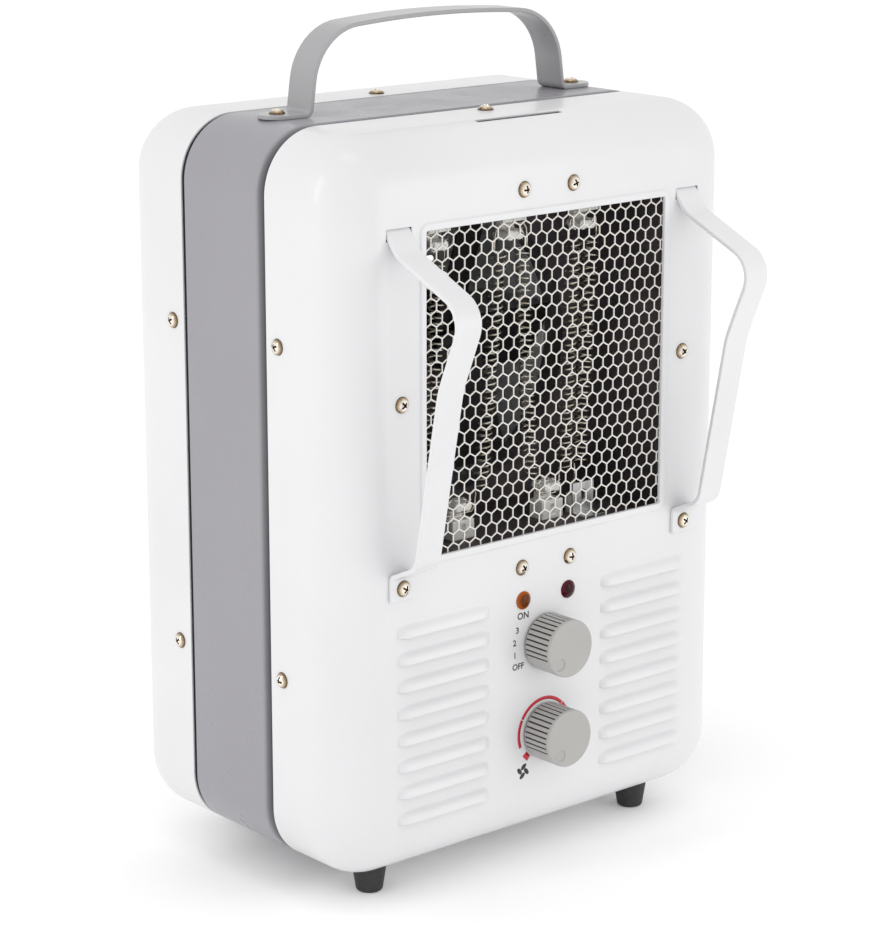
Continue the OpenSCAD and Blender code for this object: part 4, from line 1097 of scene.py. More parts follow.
        # Each corner's x and y, and the radius of its bend.
        path = (
            (low, front - self.tongue, 0), (low, front + self.roll_foot, 1.0),
            (CORNER_R, front + self.roll_l, 2.2), (CORNER_R, rear, 0.7), (deep, rear, 0.3), (deep, far, 0.3),
            (under, far, 0.3), (under, rear + self.tongue, 0),
        )
        line = strap_line([Vector((x, y, 0)) for x, y, _ in path], [r for _, _, r in path[1:-1]], 4)
        mesh = self.sweep(line)
        # Painted shade: mark how far each point dips below the band's face, for the seam's darkening.
        recess = mesh.verts.layers.float.new("recess")
        arm = self.corner()
        for v in mesh.verts:
            out = Vector((max(0.0, abs(v.co.x) - arm.x), max(0.0, abs(v.co.z - MID_Z) - arm.z))).length
            v[recess] = min(1.0, max(0.0, (CORNER_R - out) / self.seam_shade_depth))
        band = make_piece("grey_band", mesh, GREY_ENAMEL, stands_for=("housing_band",))
        thicken(band, SHEET)
        soften(band, self.band_round, over=50)
        return band

    def build(self) -> None:
        """Build the covers and the band."""
        self.front_cover()
        self.rear_cover()
        self.band()


@dataclass
class Straps:
    """The carry handle and the two guards, all bent from strap."""

    handle_w: float = 17.0
    span: float = 151.0
    rise: float = 41.5
    shoulder_r: float = 28.0
    fold_r: float = 3.0
    leg_lean: float = 5.0
    grip_fall: float = 5.0
    grip_bow: float = 0.6
    tab_x: float = 95.5
    guard_w: float = 13.4
    guard_reach: float = 45.0
    guard_foot: float = 11.0
    tip_at: tuple[float, float] = (5.0, 5.0)
    neck_at: tuple[float, float] = (-5.5, -8.5)
    knee_drop: float = 27.2
    waist_at: tuple[float, float] = (-33.0, -62.0)
    heel_out: float = 17.5
    neck_r: float = 14.0
    knee_r: float = 12.0
    waist_r: float = 40.0
    heel_r: float = 9.0
    toe_r: float = 3.0
    bend_steps: int = 12
    edge_round: float = 0.5
    end_slack: float = 0.05

    def handle(self) -> None:
        """Build the handle: round-ended tabs, legs that lean in, wide shoulders and a bowed grip."""
        t = STRAP / 2
        leg = self.span / 2 - t
        shoulder = leg - self.leg_lean
        slope = math.atan(self.grip_fall / shoulder)
        bow_r = self.grip_bow * shoulder / math.tan(slope)
        peak = self.rise - t + bow_r * (1 / math.cos(slope) - 1)
        half = [(-self.tab_x, t), (-leg, t), (-shoulder, peak - self.grip_fall)]
        corners = [Vector((x, 0, z)) for x, z in (*half, (0, peak), *((-x, z) for x, z in reversed(half)))]
        bends = [self.fold_r, self.shoulder_r - t]
        line = strap_line(corners, [*bends, bow_r, *reversed(bends)], self.bend_steps)
        mesh = line.mesh
        shift(mesh, (0, HANDLE_Y - self.handle_w / 2, TOP_Z))
        draw_along(mesh, line.geometry(), (0, self.handle_w, 0))
        ends = [v for v in mesh.verts if abs(v.co.x) > self.tab_x - MERGE]
        bmesh.ops.bevel(
            mesh, geom=ends, offset=self.handle_w / 2 - self.end_slack, segments=9, affect="VERTICES",
            profile=0.5, material=-1,
        )
        handle = make_piece("strap_handle", mesh, HANDLE_ENAMEL, stands_for=("carry_handle",))
        thicken(handle, STRAP, 0.0)
        soften(handle, self.edge_round, 3)

    def guard_points(self) -> list[Vector]:
        """Work out the guard's corners, as its line seen from the side.

        Returns:
            The corners from the slot down to the foot's end.
        """
        top = Vector((0, 0, GUARD_TOP))
        tip, neck, waist = (top + Vector((0, *at)) for at in (self.tip_at, self.neck_at, self.waist_at))
        heel = top - Vector((0, self.heel_out, HEEL_DROP))
        toe = Vector((0, -STRAP / 2, heel.z - TOE_DROP))
        knee = top - Vector((0, self.guard_reach, self.knee_drop))
        for _ in range(8):
            back = (neck - knee).normalized()
            on = (waist - knee).normalized()
            centre = knee + (back + on).normalized() * self.knee_r / math.sin(back.angle(on) / 2)
            knee.y -= centre.y - self.knee_r - STRAP / 2 + self.guard_reach
        return [tip, neck, knee, waist, heel, toe, toe - Vector((0, 0, self.guard_foot))]

    def guard(self, name: str, side: int) -> None:
        """Build one guard.

        Args:
            name: The side's name.
            side: -1 for the left guard, 1 for the right one.
        """
        radii = [self.neck_r, self.knee_r, self.waist_r, self.heel_r, self.toe_r]
        line = strap_line(self.guard_points(), radii, self.bend_steps)
        mesh = line.mesh
        shift(mesh, (side * GUARD_X - self.guard_w / 2, 0, 0))
        draw_along(mesh, line.geometry(), (self.guard_w, 0, 0))
        guard = make_piece(f"strap_guard_{name}", mesh, WHITE_ENAMEL, stands_for=(f"guard_{name}",))
        thicken(guard, STRAP, 0.0)
        soften(guard, self.edge_round, 3)

    def build(self) -> None:
        """Build the handle and both guards."""
        self.handle()
        self.guard("left", -1)
        self.guard("right", 1)


@dataclass
class Fasteners:
    """Round-headed screws with cross recesses, wherever they show."""

    head_r: float = 3.75
    head_h: float = 2.4
    shank_r: float = 2.0
    arm: float = 1.9
    arm_w: float = 0.9
    recess: float = 1.2
    recess_slope: float = 0.25
    recess_taper: float = 0.8
    rings: tuple[float, float, float] = (2.95, 3.3, 3.64)
    around: int = 24
    # Least value of the painted highlight attribute, at the dome's middle.
    glint_start: float = 0.3
    casing_y: tuple[float, float] = (42.0, 118.0)
    casing_z: tuple[float, float] = (FOOT_H + 90, TOP_Z - 91)
    front_x: float = 14.5
    above_open: float = 12.0
    below_open: float = 15.0
    side_x: float = OPEN_W / 2 + 13.3
    side_drop: float = 1.5
    handle_x: float = 87.0
    foot_z: float = GUARD_TOP - HEEL_DROP - TOE_DROP - 5.5
    casing_l: float = 7.0
    face_l: float = 8.0
    handle_l: float = 10.0
    edge_round: float = 0.1

    def dome(self, r: float) -> float:
        """Give the head's height at a distance from its axis."""
        ball = (self.head_r ** 2 + self.head_h ** 2) / (2 * self.head_h)
        return self.head_h - ball + math.sqrt(max(0.0, ball ** 2 - r ** 2))

    def screw(self, length: float) -> BMesh:
        """Build one screw with its seat at the origin and its shank along -Z.

        Args:
            length: The shank's length.

        Returns:
            The screw.
        """
        inner = self.rings[0]
        line = Line((inner, 0, 0))
        for r in (*self.rings[1:], self.head_r, self.shank_r):
            line.run((r, 0, 0))
        line.run((self.shank_r, 0, -length)).run((0, 0, -length))
        mesh = line.mesh
        # Attribute for the head's painted highlight and shade.
        glint_shade = mesh.verts.layers.float.new("glint_shade")
        for v in mesh.verts:
            if inner - MERGE < v.co.x < self.head_r - MERGE:
                v.co.z = self.dome(v.co.x)
        full_turn(mesh, (0, 0, 0), (0, 0, 1), self.around)
        weld(mesh)
        ring = [e for e in mesh.edges if e.is_boundary]
        cross = bmesh.ops.create_grid(mesh, x_segments=3, y_segments=3, size=self.arm)["verts"]
        for v in cross:
            for axis in (0, 1):
                if abs(v.co[axis]) < self.arm - MERGE:
                    v.co[axis] = math.copysign(self.arm_w / 2, v.co[axis])
            v.co.z = self.dome(v.co.to_2d().length)
        faces = {f for v in cross for f in v.link_faces}
        border = [e for f in faces for e in f.edges if e.is_boundary]
        arms = [f for f in faces if min(abs(f.calc_center_median().x), abs(f.calc_center_median().y)) < MERGE]
        bmesh.ops.bridge_loops(mesh, edges=ring + border)
        made = bmesh.ops.extrude_face_region(mesh, geom=arms)["geom"]
        floor = verts_of(made)
        bmesh.ops.delete(mesh, geom=arms, context="FACES_ONLY")
        for v in floor:
            v.co.z = self.head_h - self.recess - self.recess_slope * (self.arm - v.co.to_2d().length)
            v.co.xy = v.co.xy * self.recess_taper
        # Painted light: rises from the dome's middle to its rim, and is zero for painted shade in the recess.
        for v in mesh.verts:
            v[glint_shade] = self.glint_start + (1 - self.glint_start) * min(1.0, v.co.to_2d().length / self.head_r)
        for v in floor:
            v[glint_shade] = 0.0
        return mesh

    def group(self, name: str, node: str, seats: list[tuple[Point, Matrix]], length: float) -> None:
        """Build one group of screws, each turned a little differently.

        Args:
            name: The group's name.
            node: The node that it replaces.
            seats: Each screw's seat and the turn that brings +Z out of the surface.
            length: The shanks' length.
        """
        turn = random.Random(node)
        placings = [
            Matrix.Translation(at) @ out @ Matrix.Rotation(turn.uniform(0, QUARTER), 4, "Z")
            for at, out in seats
        ]
        mesh = bmesh.new()
        mesh.verts.layers.float.new("glint_shade")
        copy_into(mesh, self.screw(length), placings)
        soften(make_piece(name, mesh, ZINC, stands_for=(node,)), self.edge_round)

    def build(self) -> None:
        """Build every group of screws."""
        up = Matrix.Identity(4)
        forwards = Matrix.Rotation(QUARTER, 4, "X")
        down = Matrix.Rotation(math.pi, 4, "X")
        casing = []
        for y in self.casing_y:
            casing += [((0, y, TOP_Z), up), ((0, y, FOOT_H), down)]
            casing += [
                ((s * BODY_W / 2, y, z), Matrix.Rotation(s * QUARTER, 4, "Y"))
                for z in self.casing_z for s in (-1, 1)
            ]
        top = OPEN_Z + OPEN_H / 2
        low = OPEN_Z - OPEN_H / 2
        spots = (
            (self.front_x, top + self.above_open), (self.front_x, low - self.below_open),
            (self.side_x, OPEN_Z - self.side_drop),
        )
        face = [((s * x, 0, z), forwards) for s in (-1, 1) for x, z in spots]
        guards = [((s * GUARD_X, -STRAP, self.foot_z), forwards) for s in (-1, 1)]
        grips = [((s * self.handle_x, HANDLE_Y, TOP_Z + STRAP), up) for s in (-1, 1)]
        self.group("cover_screws", "casing_screws", casing, self.casing_l)
        self.group("face_screws", "front_screws", face, self.face_l)
        self.group("strap_screws", "guard_screws", guards, self.face_l)
        self.group("grip_screws", "handle_screws", grips, self.handle_l)


@dataclass
class Grille:
    """Wire mesh of small six-sided cells behind the outlet."""

    pitch: float = 6.35
    strand: float = 0.6
    depth: float = 0.6
    y: float = SHEET
    border: float = 4.0
    join: float = 0.05
    edge_round: float = 0.14

    def build(self) -> None:
        """Lay out the cells, cut them free and trim the sheet to its frame."""
        mesh = bmesh.new()
        row = self.pitch * math.sqrt(3) / 2
        w = OPEN_W / 2 + self.border
        h = OPEN_H / 2 + self.border
        rows = int(h / row) + 2
        columns = int(w / self.pitch) + 2
        cell = bmesh.new()
        bmesh.ops.create_circle(cell, cap_ends=True, segments=6, radius=self.pitch / math.sqrt(3))
        bmesh.ops.transform(cell, matrix=Matrix.Rotation(QUARTER, 4, "X"), verts=cell.verts)
        if abs(cell.verts[:][0].co.x) > MERGE:
            bmesh.ops.rotate(
                cell, verts=cell.verts, cent=(0, 0, 0), matrix=Matrix.Rotation(math.pi / 6, 3, "Y")
            )
        places = [
            Matrix.Translation(((i + 0.5 * (j % 2)) * self.pitch, self.y, OPEN_Z + j * row))
            for j in range(-rows, rows + 1) for i in range(-columns, columns + 1)
        ]
        copy_into(mesh, cell, places)
        bmesh.ops.remove_doubles(mesh, verts=mesh.verts, dist=self.join)
        cells = mesh.faces[:]
        bmesh.ops.inset_individual(mesh, faces=cells, thickness=self.strand / 2, use_even_offset=True)
        bmesh.ops.delete(mesh, geom=cells, context="FACES_ONLY")
        trims = (
            ((w, 0, 0), (1, 0, 0)), ((-w, 0, 0), (-1, 0, 0)),
            ((0, 0, OPEN_Z + h), (0, 0, 1)), ((0, 0, OPEN_Z - h), (0, 0, -1)),
        )
        for at, out in trims:
            bmesh.ops.bisect_plane(
                mesh, geom=mesh.verts[:] + mesh.edges[:] + mesh.faces[:], plane_co=at, plane_no=out,
                clear_outer=True,
            )
        loose = [e for e in mesh.edges if e.is_wire]
        bmesh.ops.delete(mesh, geom=loose, context="EDGES")
        for face in mesh.faces:
            if face.normal.y > 0:
                face.normal_flip()
        piece = make_piece("wire_mesh", mesh, MESH_ENAMEL, stands_for=("grille_mesh",), recalc=False)
        thicken(piece, self.depth)
        soften(piece, self.edge_round)


@dataclass
class Knob:
    """Fluted knob with a smooth sector and a round mark that point at the setting."""

    name: str
    node: str
    body: Body
    axis_z: float
    pointer: float
    r: float = 13.3
    length: float = 16.2
    gap: float = 0.8
    flutes: int = 29
    free: float = 60.0
    flute_from: float = 1.6
    flute_w: float = 3.2
    flute_d: float = 0.8
    mark_r: float = 2.9
    mark_in: float = 4.4
    mark_steps: int = 9
    mark_depth: float = 0.5
    wall: float = 2.7
    floor_y: float = -3.5
    skirt_round: float = 0.5
    face_round: float = 0.9
    ridge_step: float = 3.4
    run_out: float = 0.6
    # Painted shade in the flutes starts this far inside the radius and this far behind the flutes' start.
    shade_below: float = 0.35
    shade_from: float = 0.2
    edge_round: float = 0.12

    def build(self) -> None:
        """Build the knob: a spun side with pressed flutes, and a flat face with its mark."""
        front = -self.gap - self.length
        inside = self.r - self.wall
        skirt = -self.gap - self.skirt_round
        line = Line((inside, self.floor_y, 0))
        for r, y in (
            (inside, -self.gap), (self.r - self.skirt_round, -self.gap), (self.r, skirt),
            (self.r, front + self.flute_from), (self.r, front + self.face_round),
        ):
            line.run((r, y, 0))
        line.bend((self.r - self.face_round, front + self.face_round, 0), (0, 0, -1), QUARTER, 4)
        mesh = line.mesh
        bmesh.ops.rotate(
            mesh, verts=mesh.verts, cent=(0, 0, 0),
            matrix=Matrix.Rotation(-math.radians(self.pointer + self.free / 2 - self.flute_w / 2), 3, "Y"),
        )
        geometry = line.geometry()
        pitch = (360 - self.free) / (self.flutes - 1)
        grooves = []
        for i in range(self.flutes):
            ridge = pitch - self.flute_w if i < self.flutes - 1 else self.free - self.flute_w
            for angle, steps in ((self.flute_w, 1), (ridge, max(3, round(ridge / self.ridge_step)))):
                before = set(mesh.faces)
                made = bmesh.ops.spin(
                    mesh, geom=geometry, cent=(0, 0, 0), axis=(0, -1, 0), angle=math.radians(angle),
                    steps=steps,
                )
                geometry = fresh(made["geom_last"])
                if steps == 1:
                    grooves += [
                        f for f in mesh.faces
                        if f not in before and front + self.flute_from < f.calc_center_median().y < skirt
                    ]
        weld(mesh)
        pressed = bmesh.ops.extrude_face_region(mesh, geom=grooves)["geom"]
        bmesh.ops.delete(mesh, geom=grooves, context="FACES_ONLY")
        share = 1 - self.flute_d / self.r
        bmesh.ops.scale(mesh, verts=verts_of(pressed), vec=(share, 1, share))
        for v in verts_of(pressed):
            if v.co.y < front + self.flute_from + MERGE:
                v.co.y += self.flute_d * self.run_out
        self.face(mesh, front)
        shift(mesh, (0, 0, self.axis_z))
        # The knob's plastic, with painted shade in its flutes.
        finish = Fluted(
            f"{self.name}_plastic", "knob_plastic", (0.425, 0.415, 0.4), gloss=(0.4, 0.5), mottle=0.03,
            axis_z=self.axis_z, r=self.r - self.shade_below, from_y=front + self.flute_from + self.shade_from,
        )
        knob = make_piece(self.name, mesh, finish, self.body, (self.node,))
        soften(knob, self.edge_round, over=30)

    def face(self, mesh: BMesh, front: float) -> None:
        """Close the face round its mark, and the back with a shallow floor.

        Args:
            mesh: The knob's mesh, about its axis.
            front: Place of the face along y.
        """
        out = self.r - self.mark_in
        a = math.radians(self.pointer)
        at = (out * math.cos(a), front, out * math.sin(a))
        hole(mesh, at, 2 * self.mark_r, 2 * self.mark_r, self.mark_r - 0.02, self.mark_steps)
        fill_flat(mesh, front)
        mark = [
            e for e in mesh.edges
            if all((v.co - Vector(at)).length < self.mark_r + 0.1 for v in e.verts) and e.is_boundary
        ]
        dish = bmesh.ops.contextual_create(mesh, geom=mark)["faces"]
        bmesh.ops.inset_region(mesh, faces=dish, thickness=0.2, depth=-self.mark_depth, use_even_offset=True)
        fill_flat(mesh, self.floor_y)


@dataclass
class Controls:
    """Knobs, lamps and the plain prints round them."""

    lamp_r: float = 4.2
    lens_h: float = 2.2
    lens_lip: float = 0.35
    lamp_l: float = 10.0
    lamp_body_r: float = 3.9
    seat: float = 0.02
    ink: float = 0.05
    bolder: float = 0.018
    on_z: float = FOOT_H + 108.3
    on_size: float = 4.4
    step_size: float = 4.0
    step_r: float = 18.8
    step_from: float = 155.0
    step_turn: float = 18.0
    scale_shift: float = -0.6
    stretches: tuple[tuple[float, float, float, float], ...] = (
        (16.0, 1.6, 202, 151), (16.0, 1.6, 149.5, 44), (16.2, 2.2, 42.5, 10), (16.2, 3.0, 232, 218),
    )
    figure_at: tuple[float, float] = (-13.1, FOOT_H + 34.3)
    figure_start: float = 0.35
    blades: int = 4
    blade_at: tuple[float, float] = (2.1, 0.35)
    blade_lean: float = 0.55
    blade_size: tuple[float, float] = (1.9, 1.05)
    edge_round: float = 0.12

    def lamp(self, name: str, node: str, side: int, middle: Colour, rim: Colour) -> None:
        """Build a lamp: a domed lens on a round body that passes through the cover.

        Args:
            name: The piece's name.
            node: The node that it replaces.
            side: -1 for the left lamp, 1 for the right one.
            middle: Colour in the lens's middle.
            rim: Colour at its rim.
        """
        dome = self.lens_h - self.lens_lip
        ball = (self.lamp_r ** 2 + dome ** 2) / (2 * dome)
        turn = math.asin(self.lamp_r / ball)
        line = Line((0, self.lamp_l, 0))
        for r, y in (
            (self.lamp_body_r, self.lamp_l), (self.lamp_body_r, self.seat), (self.lamp_r, self.seat),
            (self.lamp_r, -self.lens_lip),
        ):
            line.run((r, y, 0))
        line.bend((0, ball - self.lens_h, 0), (0, 0, -1), turn, 8)
        mesh = line.mesh
        full_turn(mesh, (0, 0, 0), (0, 1, 0), ROUND_STEPS)
        shift(mesh, (side * LAMP_X, 0, LAMP_Z))
        lens = Lens(
            name, "amber_lens" if side < 0 else "red_lens", middle, rim,
            centre=(side * LAMP_X * MM, 0, LAMP_Z * MM), radius=self.lamp_r,
        )
        soften(make_piece(name, mesh, lens, stands_for=(node,)), self.edge_round)

    def print_on(self, name: str, mesh: BMesh, finish: Finish) -> None:
        """Lay a flat print, drawn in x and z, on the front face.

        Args:
            name: The piece's name.
            mesh: The print's mesh, which is freed.
            finish: Its ink.
        """
        shift(mesh, (0, -self.ink, 0))
        for face in mesh.faces:
            face.normal_update()
            if face.normal.y > 0:
                face.normal_flip()
        print_piece = make_piece(name, mesh, finish, recalc=False)
        thicken(print_piece, self.ink)

    def words(self, name: str, text: str, at: tuple[float, float], size: float) -> None:
        """Print a number or ON or OFF on the front face.

        Args:
            name: The piece's name.
            text: What it says.
            at: Place of its middle in x and z.
            size: Height of the letters' line.
        """
        curve = bpy.data.curves.new(name, "FONT")
        curve.body = text
        curve.size = size
        curve.align_x = "CENTER"
        curve.align_y = "CENTER"
        curve.resolution_u = 4
        curve.offset = size * self.bolder
        mesh = mesh_of(curve)
        turn = Matrix.Translation((at[0], 0, at[1])) @ Matrix.Rotation(QUARTER, 4, "X")
        bmesh.ops.transform(mesh, matrix=turn, verts=mesh.verts)
        self.print_on(name, mesh, BLACK_INK)

    def arc(self, mesh: BMesh, r: float, wide: float, start: float, end: float) -> None:
        """Add a stretch of ring about the thermostat's axis.

        Args:
            mesh: The mesh that grows.
            r: The ring's outer radius.
            wide: Its width.
            start: Angle where it starts, counter-clockwise from the right, in degrees.
            end: Angle where it ends, clockwise from the start.
        """
        a = math.radians(start)
        line = Line((r * math.cos(a), 0, r * math.sin(a)), mesh)
        first = line.tip
        line.run(((r - wide) * math.cos(a), 0, (r - wide) * math.sin(a)))
        edge = [first, line.tip, mesh.edges.get((first, line.tip))]
        bmesh.ops.spin(
            mesh, geom=edge, cent=(0, 0, 0), axis=(0, 1, 0), angle=math.radians(start - end),
            steps=max(2, int((start - end) / 5)),
        )

    def scale_print(self) -> None:
        """Print the thermostat's red scale."""
        mesh = bmesh.new()
        for r, wide, start, end in self.stretches:
            self.arc(mesh, r, wide, start, end)
        shift(mesh, (self.scale_shift, 0, THERMOSTAT_Z))
        self.print_on("thermostat_scale", mesh, RED_INK)

    def fan_print(self) -> None:
        """Print a small figure of a four-bladed fan."""
        mesh = bmesh.new()
        out, up = self.blade_at
        for i in range(self.blades):
            blade = bmesh.new()
            bmesh.ops.create_circle(blade, cap_ends=True, segments=14, radius=1.0)
            shape = (
                Matrix.Rotation(i * QUARTER + self.figure_start, 4, "Y") @ Matrix.Translation((out, 0, up))
                @ Matrix.Rotation(self.blade_lean, 4, "Y") @ Matrix.Rotation(QUARTER, 4, "X")
                @ Matrix.Diagonal((*self.blade_size, 1, 1))
            )
            copy_into(mesh, blade, [shape])
        x, z = self.figure_at
        shift(mesh, (x, 0, z))
        self.print_on("fan_figure", mesh, BLACK_INK)

    def build(self) -> None:
        """Build the knobs, the lamps and the prints."""
        Knob("selector_grip", "selector_knob", Body.SELECTOR, SELECTOR_Z, 226).build()
        Knob("thermostat_grip", "thermostat_knob", Body.THERMOSTAT, THERMOSTAT_Z, 232).build()
        self.lamp("amber_lamp", "power_lamp", -1, (0.12, 0.025, 0.001), (0.42, 0.1, 0.001))
        self.lamp("dark_red_lamp", "caution_lamp", 1, (0.03, 0.001, 0.005), (0.09, 0.003, 0.012))
        self.words("power_on", "ON", (-LAMP_X, self.on_z), self.on_size)
        for i, text in enumerate(("3", "2", "1", "OFF")):
            angle = math.radians(self.step_from + self.step_turn * i)
            at = (self.step_r * math.cos(angle), SELECTOR_Z + self.step_r * math.sin(angle))
            self.words(f"selector_step_{i}", text, at, self.step_size)
        self.scale_print()
        self.fan_print()


@dataclass
class Element:
    """The heating coil, wound at its real pitch over the insulators."""

    y: float = 24.0
    coil_r: float = 3.2
    wire_r: float = 0.45
    curls: int = 37
    ring: int = 12
    ceiling: float = OPEN_Z + OPEN_H / 2 + 3
    floor: float = OPEN_Z - OPEN_H / 2 - 3
    hook_drop: float = 10.75
    post_h: float = 17.0
    upper_posts: tuple[float, ...] = (-45.8, -1.8, 42.2)
    lower_posts: tuple[float, ...] = (-32.0, 22.0)
    upper_ends: tuple[tuple[int, float], ...] = ((0, 3.0), (1, -5.5), (1, 7.5), (2, -4.5), (2, 6.0))
    lower_ends: tuple[tuple[int, float], ...] = ((0, -17.0), (0, 14.0), (1, -10.0), (1, 11.0))
    lead: float = 4.0
    turn_in: tuple[float, float] = (0.6, 2.4)
    turn_drop: float = 2.5
    feed_lead: float = 3.0
    feed_h: float = 14.0
    feed_x: float = 39.4
    start_x: float = -55.8
    sway: tuple[float, float] = (0.35, 19.0)
    slack: tuple[float, float] = (0.25, 47.0)
    clear: float = 5.0

    def ends(self) -> tuple[list[float], list[float]]:
        """Give the place of each run's upper end and lower end."""
        upper = [self.upper_posts[post] + aside for post, aside in self.upper_ends]
        lower = [self.lower_posts[post] + aside for post, aside in self.lower_ends]
        return upper, [*lower, self.feed_x + self.coil_r]

    def curled(
        self, a: tuple[float, float], b: tuple[float, float], start: float, turns: float
    ) -> list[Vector]:
        """Wind curls between two points.

        Args:
            a: Place of the first curl in x and z.
            b: Place of the last curl in x and z.
            start: Angle of the wire at the first curl, in degrees.
            turns: Number of curls.

        Returns:
            The wire's points.
        """
        count = int(turns * self.ring)
        points = []
        for i in range(count + 1):
            share = i / count
            w = math.radians(start) + 2 * math.pi * i / self.ring
            swell = math.sin(math.pi * share)
            sway = self.sway[0] * math.sin(share * self.sway[1] + a[0]) * swell
            slack = self.slack[0] * math.sin(share * self.slack[1] + b[0]) * swell
            x = a[0] + (b[0] - a[0]) * share + sway + self.coil_r * math.cos(w)
            z = a[1] + (b[1] - a[1]) * share + slack
            points.append(Vector((x, self.y + self.coil_r * math.sin(w), z)))
        return points

    def hook(self, a: float, b: float, post: float, at: float, run_z: float, up: int) -> list[Vector]:
        """Take the wire over a post, or under it.

        Args:
            a: Place across where the wire arrives.
            b: Place across where it leaves.
            post: The post's place.
            at: Height of the wire on the post.
            run_z: Height where the curls end.
            up: 1 over an upper post, -1 under a lower one.

        Returns:
            The wire's points.
        """
        near, wide = self.turn_in
        before = at - self.turn_drop * up
        end = run_z + self.lead * up
        pairs = (
            (a, end), (a + near, before), (a + wide, at), (post, at), (b - wide, at), (b - near, before),
            (b, end),
        )
        return [Vector((x, self.y, z)) for x, z in pairs]

    def path(self) -> list[Vector]:
        """Work out the whole wire: down, under, up, over, and so on to the feed pin.

        Returns:
            The wire's points.
        """
        top = self.ceiling - self.post_h - self.clear
        low = self.floor + self.post_h + self.clear
        hook_top = self.ceiling - self.hook_drop
        hook_low = self.floor + self.hook_drop
        upper, lower = self.ends()
        r = self.coil_r
        near, wide = self.turn_in
        pairs = (
            (self.start_x, hook_top), (self.upper_posts[0], hook_top), (upper[0] + r - wide, hook_top),
            (upper[0] + r - near, hook_top - self.turn_drop), (upper[0] + r, top + self.lead),
        )
        path = [Vector((x, self.y, z)) for x, z in pairs]
        for i in range(5):
            down = i % 2 == 0
            turns = self.curls - (0.5 if i == 4 else 0)
            start, end = ((upper[i], top), (lower[i], low)) if down else ((lower[i], low), (upper[i], top))
            path += self.curled(start, end, 0 if down else 180, turns)
            if i == 4:
                path += [
                    Vector((self.feed_x, self.y, z)) for z in (low - self.feed_lead, self.floor + self.feed_h)
                ]
            elif down:
                post = self.lower_posts[i // 2]
                path += self.hook(lower[i] + r, lower[i + 1] - r, post, hook_low, low, -1)
            else:
                post = self.upper_posts[i // 2 + 1]
                path += self.hook(upper[i] - r, upper[i + 1] + r, post, hook_top, top, 1)
        return path

    def build(self) -> None:
        """Build the coil as one round wire."""
        points = self.path()
        curve = bpy.data.curves.new("coil", "CURVE")
        curve.dimensions = "3D"
        curve.bevel_depth = self.wire_r
        curve.bevel_resolution = 1
        curve.use_fill_caps = True
        spline = curve.splines.new("POLY")
        spline.points.add(len(points) - 1)
        for knot, point in zip(spline.points, points):
            knot.co = (*point, 1)
        make_piece("coil_wire", mesh_of(curve), COIL_WIRE, stands_for=("heating_coil",))


@dataclass
class Feet:
    """Four tapered rubber feet with rounded soles."""

    places: tuple[tuple[str, float, float], ...] = (("front", 81.5, 27.0), ("rear", 64.0, 132.0))
    top_r: float = 7.9
    tip_r: float = 6.2
    round_r: float = 1.6
    stem_r: float = 2.9
    barb_r: float = 4.3
    barb_h: float = 2.5
    dimple: tuple[tuple[float, float], ...] = ((1.6, 0.0), (1.9, 0.6), (2.6, 0.6), (2.9, 0.0))
    top_round: tuple[float, float] = (0.3, 0.5)
    edge_round: float = 0.15

    def foot(self) -> BMesh:
        """Build one foot, with its sole's middle at the origin.

        Returns:
            The foot.
        """
        lean = math.atan((self.top_r - self.tip_r) / FOOT_H)
        line = Line((0, 0, 0))
        for r, z in (*self.dimple, (self.tip_r - self.round_r, 0)):
            line.run((r, 0, z))
        line.bend((self.tip_r - self.round_r, 0, self.round_r), (0, -1, 0), QUARTER - lean, 6)
        inset, drop = self.top_round
        inside = FOOT_H + SHEET
        for r, z in (
            (self.top_r, FOOT_H - drop), (self.top_r - inset, FOOT_H), (self.stem_r, FOOT_H),
            (self.stem_r, inside), (self.barb_r, inside), (self.stem_r, inside + self.barb_h),
            (0, inside + self.barb_h),
        ):
            line.run((r, 0, z))
        full_turn(line.mesh, (0, 0, 0), (0, 0, 1), ROUND_STEPS)
        return line.mesh

    def build(self) -> None:
        """Build the four feet."""
        for across, sx in (("left", -1), ("right", 1)):
            for along, x, y in self.places:
                mesh = bmesh.new()
                copy_into(mesh, self.foot(), [Matrix.Translation((sx * x, y, 0))])
                node = f"foot_{along}_{across}"
                soften(make_piece(f"rubber_{node}", mesh, RUBBER, stands_for=(node,)), self.edge_round)


